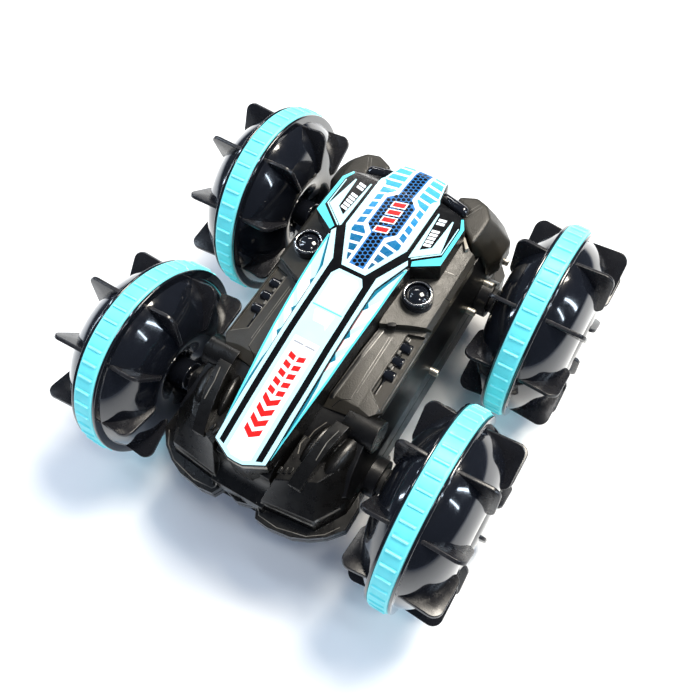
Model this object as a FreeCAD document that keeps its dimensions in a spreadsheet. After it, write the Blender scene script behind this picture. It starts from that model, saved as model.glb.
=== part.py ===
import FreeCAD, Part
import math
import os
import Sketcher
from FreeCAD import Placement, Rotation, Vector

# A double-sided, four-wheel remote-control stunt car.
# Frame: origin on the ground under the middle of the four wheels, +Z up, -Y towards the nose, +X across.
# Lengths are in millimetres. The axles lie in the level plane where the two body shells meet.

doc = FreeCAD.newDocument("StuntCar")

# ---------------------------------------------------------------- driving dimensions

SIZES = {
    "wheel_radius": 42.0,      # over the ribs of the soft band
    "band_width": 8.3,
    "band_thick": 3.0,
    "rib_count": 40,
    "rib_height": 0.5,
    "rib_width": 0.9,
    "wheel_track": 129.0,      # between the middles of the bands, across the car
    "paddle_count": 9,
    "paddle_radius": 38.6,
    "paddle_thick": 1.6,
    "paddle_reach_out": 22.0,  # from the middle of the band
    "paddle_reach_in": 17.9,
    "rim_wall": 1.5,
    "crown_out": 19.5,         # how far the domed shells stand out from the middle of the band
    "crown_in": 16.4,
    "hub_out": 14.0,
    "hub_in": 18.3,
    "axle_radius": 2.0,
    "bush_radius": 3.5,
    "run_gap": 0.05,           # radial clearance of a running fit
    "gear_module": 0.8,
    "axle_teeth": 30,
    "idler_teeth": 36,
    "small_teeth": 12,
    "motor_module": 0.6,
    "big_teeth": 40,
    "pinion_teeth": 10,
    "gear_inner": 29.4,        # distance of the gear plane from the middle of the car
    "gear_width": 3.0,
    "gear_pin": 1.0,
    "tub_half": 38.0,          # half the body's width at the seam
    "tub_top": 22.0,           # heights from here on are above the seam plane
    "wall": 2.0,
    "seal_thick": 0.8,
    "button_half": 5.0,
    "button_front": -22.0,
    "button_rear": -10.0,
    "lamp_radius": 6.0,
    "screw_radius": 1.25,
    "head_radius": 2.6,
}

sheet = doc.addObject("Spreadsheet::Sheet", "Sizes")
for row, (word, number) in enumerate(SIZES.items(), 1):
    sheet.set(f"A{row}", word)
    sheet.set(f"B{row}", str(number))
    sheet.setAlias(f"B{row}", word)
doc.recompute()


class Dim:
    """A length that knows its value and the sheet expression it comes from."""

    def __init__(self, value, text):
        self.value = value
        self.text = text

    def __add__(self, other):
        return Dim(self.value + number_of(other), f"({self.text} + {text_of(other)})")

    def __sub__(self, other):
        return Dim(self.value - number_of(other), f"({self.text} - {text_of(other)})")

    def __mul__(self, other):
        return Dim(self.value * number_of(other), f"({self.text} * {text_of(other)})")

    def __truediv__(self, other):
        return Dim(self.value / number_of(other), f"({self.text} / {text_of(other)})")

    def __neg__(self):
        return Dim(-self.value, f"(-{self.text})")

    def __radd__(self, other):
        return self + other

    def __rsub__(self, other):
        return -self + other

    def __rmul__(self, other):
        return self * other


def number_of(quantity):
    return quantity.value if isinstance(quantity, Dim) else float(quantity)


def text_of(quantity):
    return quantity.text if isinstance(quantity, Dim) else f"({quantity})"


def dim(word):
    return Dim(float(SIZES[word]), "Sizes." + word)


def bind(item, name, quantity):
    """Set a property, from the sheet when the quantity comes from it."""
    setattr(item, name, number_of(quantity))
    if isinstance(quantity, Dim):
        item.setExpression(name, quantity.text)


seam = dim("wheel_radius")

# ---------------------------------------------------------------- sketches and plain solids

PLANES = {
    "XY": Rotation(),
    "XZ": Rotation(Vector(1, 0, 0), 90),
    "YZ": Rotation(Vector(1, 1, 1), 120),
}
NORMALS = {"XY": Vector(0, 0, 1), "XZ": Vector(0, -1, 0), "YZ": Vector(1, 0, 0)}


def pin_point(sketch, geometry, end, u, v):
    """Hold one point of a sketch at (u, v) from the sketch's origin."""
    for kind, axis, quantity in (("DistanceX", -2, u), ("DistanceY", -1, v)):
        if abs(number_of(quantity)) < 1e-9:
            sketch.addConstraint(Sketcher.Constraint("PointOnObject", geometry, end, axis))
            continue
        index = sketch.addConstraint(Sketcher.Constraint(kind, -1, 1, geometry, end, number_of(quantity)))
        if isinstance(quantity, Dim):
            sketch.setExpression(f"Constraints[{index}]", quantity.text)


def draw(sketch, points):
    """Draw a closed outline. A point written (u, v, "via") bends the run it lies in into an arc."""
    flat = [(p, Vector(number_of(p[0]), number_of(p[1]), 0)) for p in points]
    corners = [i for i, (p, _) in enumerate(flat) if len(p) == 2]
    ends = []
    for place, start in enumerate(corners):
        stop = corners[(place + 1) % len(corners)]
        a, b = flat[start][1], flat[stop][1]
        between = (start + 1) % len(flat)
        if between == stop:
            ends.append((sketch.addGeometry(Part.LineSegment(a, b), False), 1, 2))
            continue
        via = flat[between]
        arc = sketch.addGeometry(Part.Arc(a, via[1], b), False)
        first = 1 if sketch.getPoint(arc, 1).distanceToPoint(a) < 1e-6 else 2
        ends.append((arc, first, 3 - first))
        mark = sketch.addGeometry(Part.Point(via[1]), True)
        pin_point(sketch, mark, 1, via[0][0], via[0][1])
        sketch.addConstraint(Sketcher.Constraint("PointOnObject", mark, 1, arc))
    for place, (geometry, first, last) in enumerate(ends):
        following = ends[(place + 1) % len(ends)]
        sketch.addConstraint(Sketcher.Constraint("Coincident", geometry, last, following[0], following[1]))
    for (geometry, first, last), start in zip(ends, corners):
        pin_point(sketch, geometry, first, points[start][0], points[start][1])


def prism(name, plane, points, start, length):
    """Extrude an outline from start, along the plane's normal, for length."""
    sketch = doc.addObject("Sketcher::SketchObject", name + "_outline")
    sketch.Placement = Placement(NORMALS[plane] * number_of(start), PLANES[plane])
    draw(sketch, points)
    solid = doc.addObject("Part::Extrusion", name)
    solid.Base = sketch
    solid.DirMode = "Custom"
    solid.Dir = NORMALS[plane]
    solid.Solid = True
    bind(solid, "LengthFwd", length)
    return solid


def across(name, points, half):
    """A profile seen from the side, extruded from -half to +half across the car."""
    return prism(name, "YZ", points, -half, 2 * half)


def cylinder(name, radius, length, base, rotation=Rotation()):
    solid = doc.addObject("Part::Cylinder", name)
    bind(solid, "Radius", radius)
    bind(solid, "Height", length)
    solid.Placement = Placement(Vector(*[number_of(c) for c in base]), rotation)
    return solid


def box(name, low, high):
    solid = doc.addObject("Part::Box", name)
    for prop, a, b in zip(("Length", "Width", "Height"), low, high):
        bind(solid, prop, b - a)
    solid.Placement.Base = Vector(*[number_of(c) for c in low])
    return solid


ALONG_X = Rotation(Vector(0, 1, 0), 90)


def rod(name, radius, x_low, x_high, y, z):
    """A cylinder along X."""
    return cylinder(name, radius, x_high - x_low, (x_low, y, z), ALONG_X)


def fuse(name, *parts):
    solid = doc.addObject("Part::MultiFuse", name)
    solid.Shapes = list(parts)
    solid.Refine = True
    return solid


def common(name, *parts):
    solid = doc.addObject("Part::MultiCommon", name)
    solid.Shapes = list(parts)
    return solid


def cut(name, base, *tools):
    tool = tools[0] if len(tools) == 1 else fuse(name + "_tool", *tools)
    solid = doc.addObject("Part::Cut", name)
    solid.Base = base
    solid.Tool = tool
    return solid


def mirrored(name, source, origin, normal):
    solid = doc.addObject("Part::Mirroring", name)
    solid.Source = source
    solid.Base = Vector(*origin)
    solid.Normal = Vector(*normal)
    return solid


def both_sides(points):
    """Close a right-hand half outline with its left-hand mirror image."""
    return points + [(-u, v) for u, v in reversed(points) if abs(number_of(u)) > 1e-9]


nodes = {}


def keep(label, item):
    """Name a finished sub-part: its label is its file's name."""
    item.Label = label
    nodes[label] = item
    return item


def lift(label, *pieces):
    """Keep a sub-part laid out about the seam plane, lifted to the height of the axles."""
    whole = doc.addObject("Part::Compound", label + "_node")
    whole.Links = list(pieces)
    whole.Placement.Base = Vector(0, 0, seam.value)
    return keep(label, whole)


def origin_plane(body, role):
    return next(f for f in body.Origin.OriginFeatures if f.Role == role)


def body_sketch(body, name, role):
    sketch = body.newObject("Sketcher::SketchObject", name)
    sketch.AttachmentSupport = [(origin_plane(body, role), "")]
    sketch.MapMode = "FlatFace"
    return sketch


def turned(label, points, role="XZ_Plane"):
    """A body turned about its own X axis, from a profile of (along, radius) points."""
    body = doc.addObject("PartDesign::Body", label + "_body")
    sketch = body_sketch(body, label + "_profile", role)
    draw(sketch, points)
    turn = body.newObject("PartDesign::Revolution", label + "_turn")
    turn.Profile = sketch
    turn.ReferenceAxis = (sketch, ["H_Axis"])
    turn.Angle = 360
    sketch.Visibility = False
    return body


def polar(body, name, feature, count):
    """Repeat a feature round the body's X axis."""
    pattern = body.newObject("PartDesign::PolarPattern", name)
    pattern.Originals = [feature]
    pattern.Axis = (next(f for f in body.Origin.OriginFeatures if f.Role == "X_Axis"), [""])
    pattern.Angle = 360
    pattern.Occurrences = int(number_of(count))
    if isinstance(count, Dim):
        pattern.setExpression("Occurrences", count.text)
    body.Tip = pattern
    return pattern

# ---------------------------------------------------------------- wheels

WHEELS = {
    "front_left": (-1, -1),
    "front_right": (1, -1),
    "rear_left": (-1, 1),
    "rear_right": (1, 1),
}

train = dim("small_teeth") + 2 * dim("idler_teeth") + dim("axle_teeth")
half_base = dim("gear_module") * train / 2
half_track = dim("wheel_track") / 2
half_band = dim("band_width") / 2


def wheel_place(side, end):
    """Where a wheel stands: its own +X points away from the car."""
    turn = Rotation(Vector(0, 0, 1), 0 if side > 0 else 180)
    return Placement(Vector(side * half_track.value, end * half_base.value, seam.value), turn)


def tyre(label):
    """The soft band: a rounded ring with fine ribs across it."""
    outer = dim("wheel_radius") - dim("rib_height")
    inner = dim("wheel_radius") - dim("band_thick")
    edge = 0.8
    body = turned(label, [
        (-half_band, inner), (-half_band, outer - edge), (-half_band + edge, outer),
        (half_band - edge, outer), (half_band, outer - edge), (half_band, inner)])
    sketch = body_sketch(body, label + "_rib", "YZ_Plane")
    half = dim("rib_width") / 2
    draw(sketch, [(-half, outer - edge), (half, outer - edge), (half, dim("wheel_radius") - 0.1),
                  (0, dim("wheel_radius"), "via"), (-half, dim("wheel_radius") - 0.1)])
    rib = body.newObject("PartDesign::Pad", label + "_rib_pad")
    rib.Profile = sketch
    rib.Midplane = True
    bind(rib, "Length", dim("band_width") - 2 * edge)
    polar(body, label + "_ribs", rib, dim("rib_count"))
    return body


def rim(label, reach, crown, hub_face):
    """Half of the rim: a hollow domed shell with flat paddles, on the +X side of the band.

    The crown is how far the dome stands out, and the hub face is where its hub boss ends.
    """
    seat = dim("wheel_radius") - dim("band_thick")
    flange = dim("wheel_radius") - 0.9
    wall = dim("rim_wall")
    edge = half_band + 1.3
    hub = 6.0
    body = turned(label, [
        (0, dim("axle_radius")), (0, seat - 4.0), (0, seat), (half_band, seat), (half_band, flange),
        (edge, flange), (edge, seat - 1.0), (crown - 3.2, seat - 8.5, "via"), (crown, 21.0),
        (crown - 2.2, 12.5, "via"), (crown - 8.0, hub + 2.0), (crown - 8.0, hub),
        (hub_face, hub), (hub_face, dim("axle_radius"))])
    sketch = body_sketch(body, label + "_paddle", "XZ_Plane")
    top = dim("paddle_radius")
    draw(sketch, [
        (edge - 0.6, top - 6.0), (edge - 0.6, top - 0.8), (reach - 4.0, top), (reach - 1.2, top - 1.2, "via"),
        (reach, top - 4.0), (reach, 23.0), (reach - 0.8, 20.8, "via"), (crown - 0.8, 19.5),
        (crown - 5.5, 27.0)])
    paddle = body.newObject("PartDesign::Pad", label + "_paddle_pad")
    paddle.Profile = sketch
    paddle.Midplane = True
    bind(paddle, "Length", dim("paddle_thick"))
    polar(body, label + "_paddles", paddle, dim("paddle_count"))
    hollow = body_sketch(body, label + "_hollow", "XZ_Plane")
    draw(hollow, [
        (0, hub), (0, seat - wall), (half_band + wall, seat - wall), (crown - 3.2 - wall, seat - 9.6, "via"),
        (crown - wall, 21.0), (crown - 2.2 - wall, 13.6, "via"), (crown - 8.0 - wall, hub + 3.0),
        (crown - 8.0 - wall, hub)])
    groove = body.newObject("PartDesign::Groove", label + "_groove")
    groove.Profile = hollow
    groove.ReferenceAxis = (hollow, ["H_Axis"])
    groove.Angle = 360
    body.Tip = groove
    return body


def wheel_axle(label, inner_end):
    """The steel axle, bored at its outer end for the wheel screw."""
    end = dim("hub_out") - 0.2
    screw = dim("screw_radius")
    return turned(label, [
        (-inner_end, 0), (-inner_end, dim("axle_radius") - 0.3), (-inner_end + 0.3, dim("axle_radius")),
        (end, dim("axle_radius")), (end, screw), (end - 8.0, screw), (end - 8.0, 0)])


def wheel_screw(label):
    """A pan-head screw with a washer face, seen in the middle of the wheel's outer side."""
    face = dim("hub_out")
    screw = dim("screw_radius")
    return turned(label, [
        (face - 7.5, 0), (face - 7.5, screw), (face, screw), (face, 4.2), (face + 0.5, 4.2),
        (face + 0.5, 3.0), (face + 1.7, 2.5, "via"), (face + 2.3, 1.4), (face + 2.3, 0)])


def tooth_ring(teeth, module, turn, x):
    """The outline of an involute spur gear in a YZ plane. Its first tooth points along +Y."""
    pressure = math.radians(25)
    backlash = 0.16
    pitch = module * teeth / 2
    base = pitch * math.cos(pressure)
    root = pitch - 1.15 * module
    tip = pitch + 0.82 * module
    start = max(base, root)

    def spread(radius):
        lean = math.acos(min(1.0, base / radius))
        return math.tan(lean) - lean

    half = math.pi / (2 * teeth) - backlash / (4 * pitch) + spread(pitch)
    flank = [start + (tip - start) * step / 4 for step in range(5)]
    side = [(radius, half - spread(radius)) for radius in flank]
    if root < base:
        side.insert(0, (root, side[0][1]))
    points = []
    for tooth in range(teeth):
        middle = turn + 2 * math.pi * tooth / teeth
        for radius, angle in [(r, -a) for r, a in side] + [(r, a) for r, a in reversed(side)]:
            points.append(Vector(x, radius * math.cos(middle + angle), radius * math.sin(middle + angle)))
    return Part.makePolygon(points + points[:1])


def gear_solid(teeth, module, x_low, width, bore, turn=0.0):
    """A spur gear on the X axis with a plain bore."""
    blank = Part.Face(tooth_ring(int(teeth), module, turn, x_low)).extrude(Vector(width, 0, 0))
    hole = Part.makeCylinder(bore, width + 2, Vector(x_low - 1, 0, 0), Vector(1, 0, 0))
    return blank.cut(hole)


def feature(label, shape, base=Vector(), rotation=Rotation()):
    item = doc.addObject("Part::Feature", label + "_solid")
    item.Shape = shape
    item.Placement = Placement(base, rotation)
    return keep(label, item)


HALF_TURN = Rotation(Vector(0, 0, 1), 180)
FIRST_PADDLE = {"front_left": 8.0, "front_right": 8.0, "rear_left": -11.0, "rear_right": 12.0}
gear_middle = dim("gear_inner").value
gear_low = gear_middle - half_track.value

for name, (side, end) in WHEELS.items():
    place = wheel_place(side, end)
    lean = Rotation(Vector(1, 0, 0), -side * FIRST_PADDLE[name])
    band = keep(f"tyre_{name}", tyre(f"tyre_{name}"))
    outer = rim(f"outer_rim_{name}", dim("paddle_reach_out"), dim("crown_out"), dim("hub_out"))
    inner = rim(f"inner_rim_{name}", dim("paddle_reach_in"), dim("crown_in"), dim("hub_in"))
    keep(f"outer_rim_{name}", outer)
    keep(f"inner_rim_{name}", inner)
    shaft = keep(f"axle_{name}", wheel_axle(f"axle_{name}", half_track - 22.4))
    screw = keep(f"wheel_screw_{name}", wheel_screw(f"wheel_screw_{name}"))
    for item in (band, shaft, screw):
        item.Placement = place
    outer.Placement = place * Placement(Vector(), lean)
    inner.Placement = place * Placement(Vector(), lean.multiply(HALF_TURN))
    shape = gear_solid(SIZES["axle_teeth"], SIZES["gear_module"], gear_low, SIZES["gear_width"],
                       SIZES["axle_radius"])
    feature(f"axle_gear_{name}", shape, place.Base, place.Rotation)


# ---------------------------------------------------------------- gear trains and motors

# Everything here is laid out for the right-hand side; the left is the same turned half round.

motor_y = dim("motor_module") * (dim("pinion_teeth") + dim("big_teeth")) / 2
idler_y = dim("gear_module") * (dim("small_teeth") + dim("idler_teeth")) / 2
cover_low = 24.4
cover_high = 26.4
pinion_low = 26.9
pinion_width = 2.0
half_pitch = math.pi / SIZES["idler_teeth"]
pin_bore = SIZES["gear_pin"] + SIZES["run_gap"]

for side, turn in (("right", Rotation()), ("left", HALF_TURN)):
    centre = Vector(0, 0, seam.value)

    big = gear_solid(SIZES["big_teeth"], SIZES["motor_module"], pinion_low, pinion_width, pin_bore,
                     math.pi / SIZES["big_teeth"])
    small = gear_solid(SIZES["small_teeth"], SIZES["gear_module"], pinion_low + pinion_width,
                       gear_middle + SIZES["gear_width"] - pinion_low - pinion_width, pin_bore)
    feature(f"reduction_gear_{side}", big.fuse(small), centre, turn)

    for word, end in (("front", -1), ("rear", 1)):
        shape = gear_solid(SIZES["idler_teeth"], SIZES["gear_module"], gear_middle, SIZES["gear_width"],
                           pin_bore, half_pitch)
        middle = Vector(0, end * idler_y.value, seam.value)
        feature(f"idler_gear_{word}_{side}", shape, middle, turn)

    offset = turn.multVec(Vector(0, motor_y.value, 0))
    pinion = gear_solid(SIZES["pinion_teeth"], SIZES["motor_module"], pinion_low, pinion_width,
                        SIZES["gear_pin"])
    motor_shaft = Part.makeCylinder(SIZES["gear_pin"], 26.9, Vector(2.2, 0, 0), Vector(1, 0, 0))
    feature(f"motor_pinion_{side}", Part.makeCompound([pinion, motor_shaft]), centre + offset, turn)

    can = common(f"motor_{side}_can", rod(f"motor_{side}_round", 10.0, 1.2, cover_low, 0, 0),
                 box(f"motor_{side}_flats", (0, -10, -7.5), (cover_low, 10, 7.5)))
    boss = rod(f"motor_{side}_boss", 3.0, cover_low, cover_high, 0, 0)
    bore = rod(f"motor_{side}_bore", dim("gear_pin") + dim("run_gap"), 2.0, cover_high + 1, 0, 0)
    motor = keep(f"motor_{side}", cut(f"motor_{side}_body", fuse(f"motor_{side}_case", can, boss), bore))
    motor.Placement = Placement(centre + offset, turn)


def cover_outline(inset):
    """The gear cover seen from the side, about the seam plane."""
    high = 16.8 - inset
    end = 60.0 - inset
    corner = 47.6 - 0.4 * inset
    low = 8.6 - 0.3 * inset
    return [(-end, -low), (-corner, -high), (corner, -high), (end, -low),
            (end, low), (corner, high), (-corner, high), (-end, low)]


STEP_X = 29.2    # the idlers' pins are slimmer below this, beside the motor's pinion


def gear_cover(label, turn):
    """A tray over the gears with their pins, the motor's hole and the inner axle bushes' holes."""
    tray = cut(label + "_tray", prism(label + "_outside", "YZ", cover_outline(0), cover_low, 8.8),
               prism(label + "_inside", "YZ", cover_outline(1.1), cover_high, 9.0))
    pins = [rod(f"{label}_pin{i}", dim("gear_pin"), low, 33.0, y, 0)
            for i, (y, low) in enumerate(((-idler_y, STEP_X), (0, cover_high), (idler_y, STEP_X)))]
    pins += [rod(f"{label}_pin_root{i}", 0.6, cover_high, STEP_X + 0.1, y, 0)
             for i, y in enumerate((-idler_y, idler_y))]
    posts = [rod(f"{label}_post{i}", 1.8, cover_high, 34.8, y, z)
             for i, (y, z) in enumerate(((-34.2, -9.8), (-34.2, 9.8), (34.2, -9.8), (34.2, 9.8)))]
    holes = [rod(f"{label}_hole{i}", dim("bush_radius"), cover_low - 1, cover_high + 1, y, 0)
             for i, y in enumerate((-half_base, half_base))]
    holes.append(rod(label + "_motor_hole", 3.0, cover_low - 1, cover_high + 1, motor_y, 0))
    cover = keep(label, cut(label + "_body", fuse(label + "_whole", tray, *pins, *posts), *holes))
    cover.Placement = Placement(Vector(0, 0, seam.value), turn)


gear_cover("gearbox_cover_right", Rotation())
gear_cover("gearbox_cover_left", HALF_TURN)


def ring(label, outer, inner, x_low, x_high, y):
    """A plain tube along X at seam height."""
    return cut(label, rod(label + "_outside", outer, x_low, x_high, y, seam),
               rod(label + "_bore", inner, x_low - 1, x_high + 1, y, seam))


def at_each_axle(label, make):
    """The same piece at all four axles, as one group of separate solids."""
    group = doc.addObject("Part::Compound", label + "_group")
    pieces = []
    for name, (side, end) in WHEELS.items():
        pieces += make(f"{label}_{name}", side, end * half_base)
    group.Links = pieces
    return keep(label, group)


running = dim("axle_radius") + dim("run_gap")
HOUSING_LOW, HOUSING_HIGH = 36.0, 43.0


def bushes(label, side, y):
    spans = ((cover_low, cover_low + 4.0), (HOUSING_LOW, HOUSING_HIGH))
    return [ring(f"{label}_{i}", dim("bush_radius"), running, *sorted((side * low, side * high)), y)
            for i, (low, high) in enumerate(spans)]


def seals(label, side, y):
    return [ring(label, 5.2, running, *sorted((side * HOUSING_HIGH, side * (HOUSING_HIGH + 1.6))), y)]


at_each_axle("axle_bushes", bushes)
at_each_axle("axle_seals", seals)

# ---------------------------------------------------------------- body outlines

# Heights in this part are above the seam plane; the finished pieces are raised to it at the end.
# The top line runs over the car's middle from the nose to the tail, as (y, height).

TOP_LINE = [(-72.5, 27.9), (-50, 32.3), (-22, 36.8), (-5, 38.4), (9, 39.4), (27, 39.4),
            (50, 38.2), (62, 35.8), (66.2, 33.5)]
DECK = dim("tub_top")
FRONT_Y, REAR_Y = -72.5, 66.2


def line_height(y):
    for (a, low), (b, high) in zip(TOP_LINE, TOP_LINE[1:]):
        if y <= b:
            return low + (high - low) * (y - a) / (b - a)
    return TOP_LINE[-1][1]


def under_line(depth, bottom, inset=0.0):
    """Everything below the top line by at least depth, down to bottom, seen from the side."""
    front, rear = FRONT_Y + inset, REAR_Y - inset
    inner = [(y, high - depth) for y, high in TOP_LINE if front < y < rear]
    return ([(front, bottom), (front, line_height(front) - depth)] + inner
            + [(rear, line_height(rear) - depth), (rear, bottom)])


def spine_plan(inset=0.0):
    """The middle cover from above: a shallow point at the nose, widest beside the lamps."""
    half = [(0, FRONT_Y + inset), (3.2 - inset / 2, FRONT_Y + 0.2 + inset), (10.8 - inset, -68.5 + inset),
            (14.5 - inset, -32), (16.6 - inset, -2), (17.5 - inset, 20), (16.4 - inset, 24),
            (12.4 - inset, 54.2 - inset), (9.8 - inset, REAR_Y - inset)]
    return both_sides(half + [(0, REAR_Y - inset)])


def hood_plan(inset=0.0):
    """The wide hood behind the lamps from above."""
    half = [(0, 18 + inset), (15 - inset, 18 + inset), (17.6 - inset, 20.8 + inset / 2),
            (27.4 - inset, 26.6 + inset / 2),
            (27.4 - inset, 46 - inset / 2), (24.8 - inset, 50.6 - inset), (12.6 - inset, 54.2 - inset),
            (9.9 - inset, 65.0 - inset)]
    return both_sides(half + [(0, 65.0 - inset)])


def tub_plan(inset=0.0):
    half = [(0, -64 + inset), (33 - inset / 2, -64 + inset), (dim("tub_half") - inset, -60 + inset / 2),
            (dim("tub_half") - inset, 60 - inset / 2), (31 - inset / 2, 68 - inset)]
    return both_sides(half + [(0, 68 - inset)])


def tub_side(low, inset=0.0):
    return [(-64 + inset, low), (-64 + inset, 11 - inset / 2), (-54 + inset / 4, 17 - inset),
            (-38, DECK - inset),
            (58, DECK - inset), (68 - inset, 12 - inset / 2), (68 - inset, low)]


def tub_section(low, inset=0.0):
    half = dim("tub_half") - inset
    return [(half, low), (half, 10), (half - 4, DECK - inset), (4 - half, DECK - inset), (-half, 10),
            (-half, low)]


REACH = 100.0


def tub_form(name, low, inset=0.0):
    """The upper tub as one closed solid: seen from above, from the side and from the front."""
    return common(name, prism(name + "_plan", "XY", tub_plan(inset), 0, REACH),
                  across(name + "_side", tub_side(low, inset), REACH),
                  prism(name + "_section", "XZ", tub_section(low, inset), -REACH, 2 * REACH))


def layered(name, plan, depth, bottom, inset=0.0):
    """A solid under the top line, inside a plan outline."""
    return common(name, prism(name + "_plan", "XY", plan, 0, REACH),
                  across(name + "_side", under_line(depth, bottom, inset), REACH))


SEAL_HALF = dim("seal_thick") / 2
DECAL = 0.3
SKIN = dim("wall")
STEP = 1.1

RIDGE = both_sides([(0, FRONT_Y), (3.2, FRONT_Y + 0.2), (10.8, -68.5), (11.0, -61), (11.3, 5.5), (16.9, 20.6),
                    (13.5, 27), (13.4, 52.5), (12.3, 54.4), (9.8, REAR_Y), (0, REAR_Y)])


def cover_form(name, depth):
    """The solid whose skin is the middle cover: two low strips, a raised ridge and the hood."""
    strips = layered(name + "_strips", spine_plan(), depth + STEP, 12.0)
    ridge = layered(name + "_ridge", RIDGE, depth, 12.0)
    hood = layered(name + "_hood", hood_plan(), depth + 0.5, 30.5)
    return fuse(name, strips, ridge, hood)


solid_tub = tub_form("solid_tub", 0)
cover_outside = cover_form("cover_outside", DECAL)
cover_solid = cut("cover_solid", cover_outside, solid_tub)


# ---------------------------------------------------------------- rails, fenders, bumper and arches

def rail_form(name):
    """The right-hand side rail: a low front part with a scooped pocket, a step, and the lamps' deck."""
    front_plan = [(14.2, -38), (30, -36), (34.5, -30), (34.5, 7.6), (17.0, -2)]
    rear_plan = [(17.0, -2), (34.5, 7.6), (34.5, 42), (33.4, 44.5), (31, 45), (23, 52), (16, 53), (16.0, 16)]
    front = common(name + "_front", prism(name + "_front_plan", "XY", front_plan, 0, REACH),
                   prism(name + "_front_section", "XZ",
                         [(14, 18), (34.5, 18), (34.5, 23.2), (33, 24.8), (26, 25.6),
                          (14, 28.2)], -REACH, 2 * REACH),
                   across(name + "_front_side", [(-38, 18), (-38, 22.5), (-33, 25.5), (8, 30), (8, 18)],
                          REACH))
    rear = common(name + "_rear", prism(name + "_rear_plan", "XY", rear_plan, 0, REACH),
                  prism(name + "_rear_section", "XZ",
                        [(14, 18), (34.5, 18), (34.5, 25.6), (32.6, 27.6), (28, 29.2),
                         (14, 31.6)], -REACH, 2 * REACH))
    pocket = prism(name + "_pocket", "XY", [(27.2, 2.0), (33.4, 4.2), (33.4, -29.5), (27.2, -24.8)], 23.4,
                   8.0)
    scoops = [common(f"{name}_scoop{i}", rod(f"{name}_roll{i}", 2.1, 27.0, 31.6, y, 23.4),
                     box(f"{name}_scoop{i}_half", (26, y - 2.4, 21.0), (34, y + 2.4, 26.2)))
              for i, y in enumerate((-2.8, -9.2, -15.6))]
    return fuse(name, cut(name + "_shape", fuse(name + "_steps", front, rear), pocket), *scoops)


def lamp_pod(name):
    """The oblong rear lamp in the notch between the hood and the right-hand fender."""
    lean = math.radians(-16)
    half = Vector(4.6 * math.cos(lean), 4.6 * math.sin(lean), 0.4)
    middle = Vector(16.2, 59.2, 31.0)
    radius = 2.6
    tube = cylinder(name + "_tube", radius, 2 * half.Length, middle - half, Rotation(Vector(0, 0, 1), half))
    caps = []
    for i, spot in enumerate((middle - half, middle + half)):
        ball = doc.addObject("Part::Sphere", f"{name}_ball{i}")
        ball.Radius = radius
        ball.Placement.Base = spot
        caps.append(ball)
    return fuse(name, tube, *caps)


def loft(name, *sections):
    """A solid through level outlines, given as (height, points)."""
    outlines = []
    for i, (height, points) in enumerate(sections):
        sketch = doc.addObject("Sketcher::SketchObject", f"{name}_level{i}")
        sketch.Placement.Base = Vector(0, 0, number_of(height))
        draw(sketch, points)
        outlines.append(sketch)
    solid = doc.addObject("Part::Loft", name)
    solid.Sections = outlines
    solid.Solid = True
    solid.Ruled = True
    return solid


def fender_form(name):
    """The right-hand rear shoulder: a faceted block over the tub's rear corner."""
    front = [(16, 56), (21.8, 55), (25.4, 50.6), (31, 46.2)]
    return loft(name,
                (8.0, front + [(38, 48.5), (41, 55), (41, 64.5), (36, 70.5), (25, 71.5), (16, 67)]),
                (18.0, front + [(37.5, 48.5), (41, 55), (41, 63.5), (35, 69.5), (25, 70.5), (16, 66.5)]),
                (26.0, front + [(34, 48.5), (36, 55), (35.5, 62), (31.5, 67), (24, 69), (16, 66)]),
                (31.4, front + [(31.2, 48.5), (31.6, 55), (31.4, 60.5), (27.5, 65.5), (22.5, 67), (16, 64)]))


def bumper_form(name):
    """The upper half of the front bumper: a lip along the seam, two lobes and a scooped middle."""
    lip_half = [(0, -80.2), (7.6, -78.0), (9.8, -82.2), (15.6, -82.8), (25, -81.6), (31, -79.0),
                (36.5, -75.2),
                (41.2, -69.5), (41.2, -60), (39, -56), (39, -50)]
    lip = prism(name + "_lip", "XY", both_sides(lip_half + [(0, -50)]), SEAL_HALF - 0.25, 3.1)
    lobes = []
    for side in (-1, 1):
        def outline(points):
            placed = [(side * x, y) for x, y in points]
            return placed if side > 0 else placed[::-1]
        lobes.append(loft(
            f"{name}_lobe_{'right' if side > 0 else 'left'}",
            (3.1, outline([(9.4, -77.8), (31.6, -75.4), (38.4, -64), (38.6, -50), (9.4, -50)])),
            (10.6, outline([(10.3, -76.6), (31.2, -74.0), (37.4, -62), (37.6, -50), (10.3, -50)])),
            (20.6, outline([(13.4, -69.3), (27.3, -63.2), (31.6, -55), (32.0, -50), (13.4, -50)]))))
    middle = across(name + "_middle",
                    [(-79.0, 3.1), (-78.4, 7.6), (-74.6, 9.6), (-71.2, 14.0, "via"), (-70.4, 19.6),
                                       (-66, 22), (-50, 22), (-50, 3.1)], 11.5)
    return fuse(name, lip, middle, *lobes)


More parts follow.
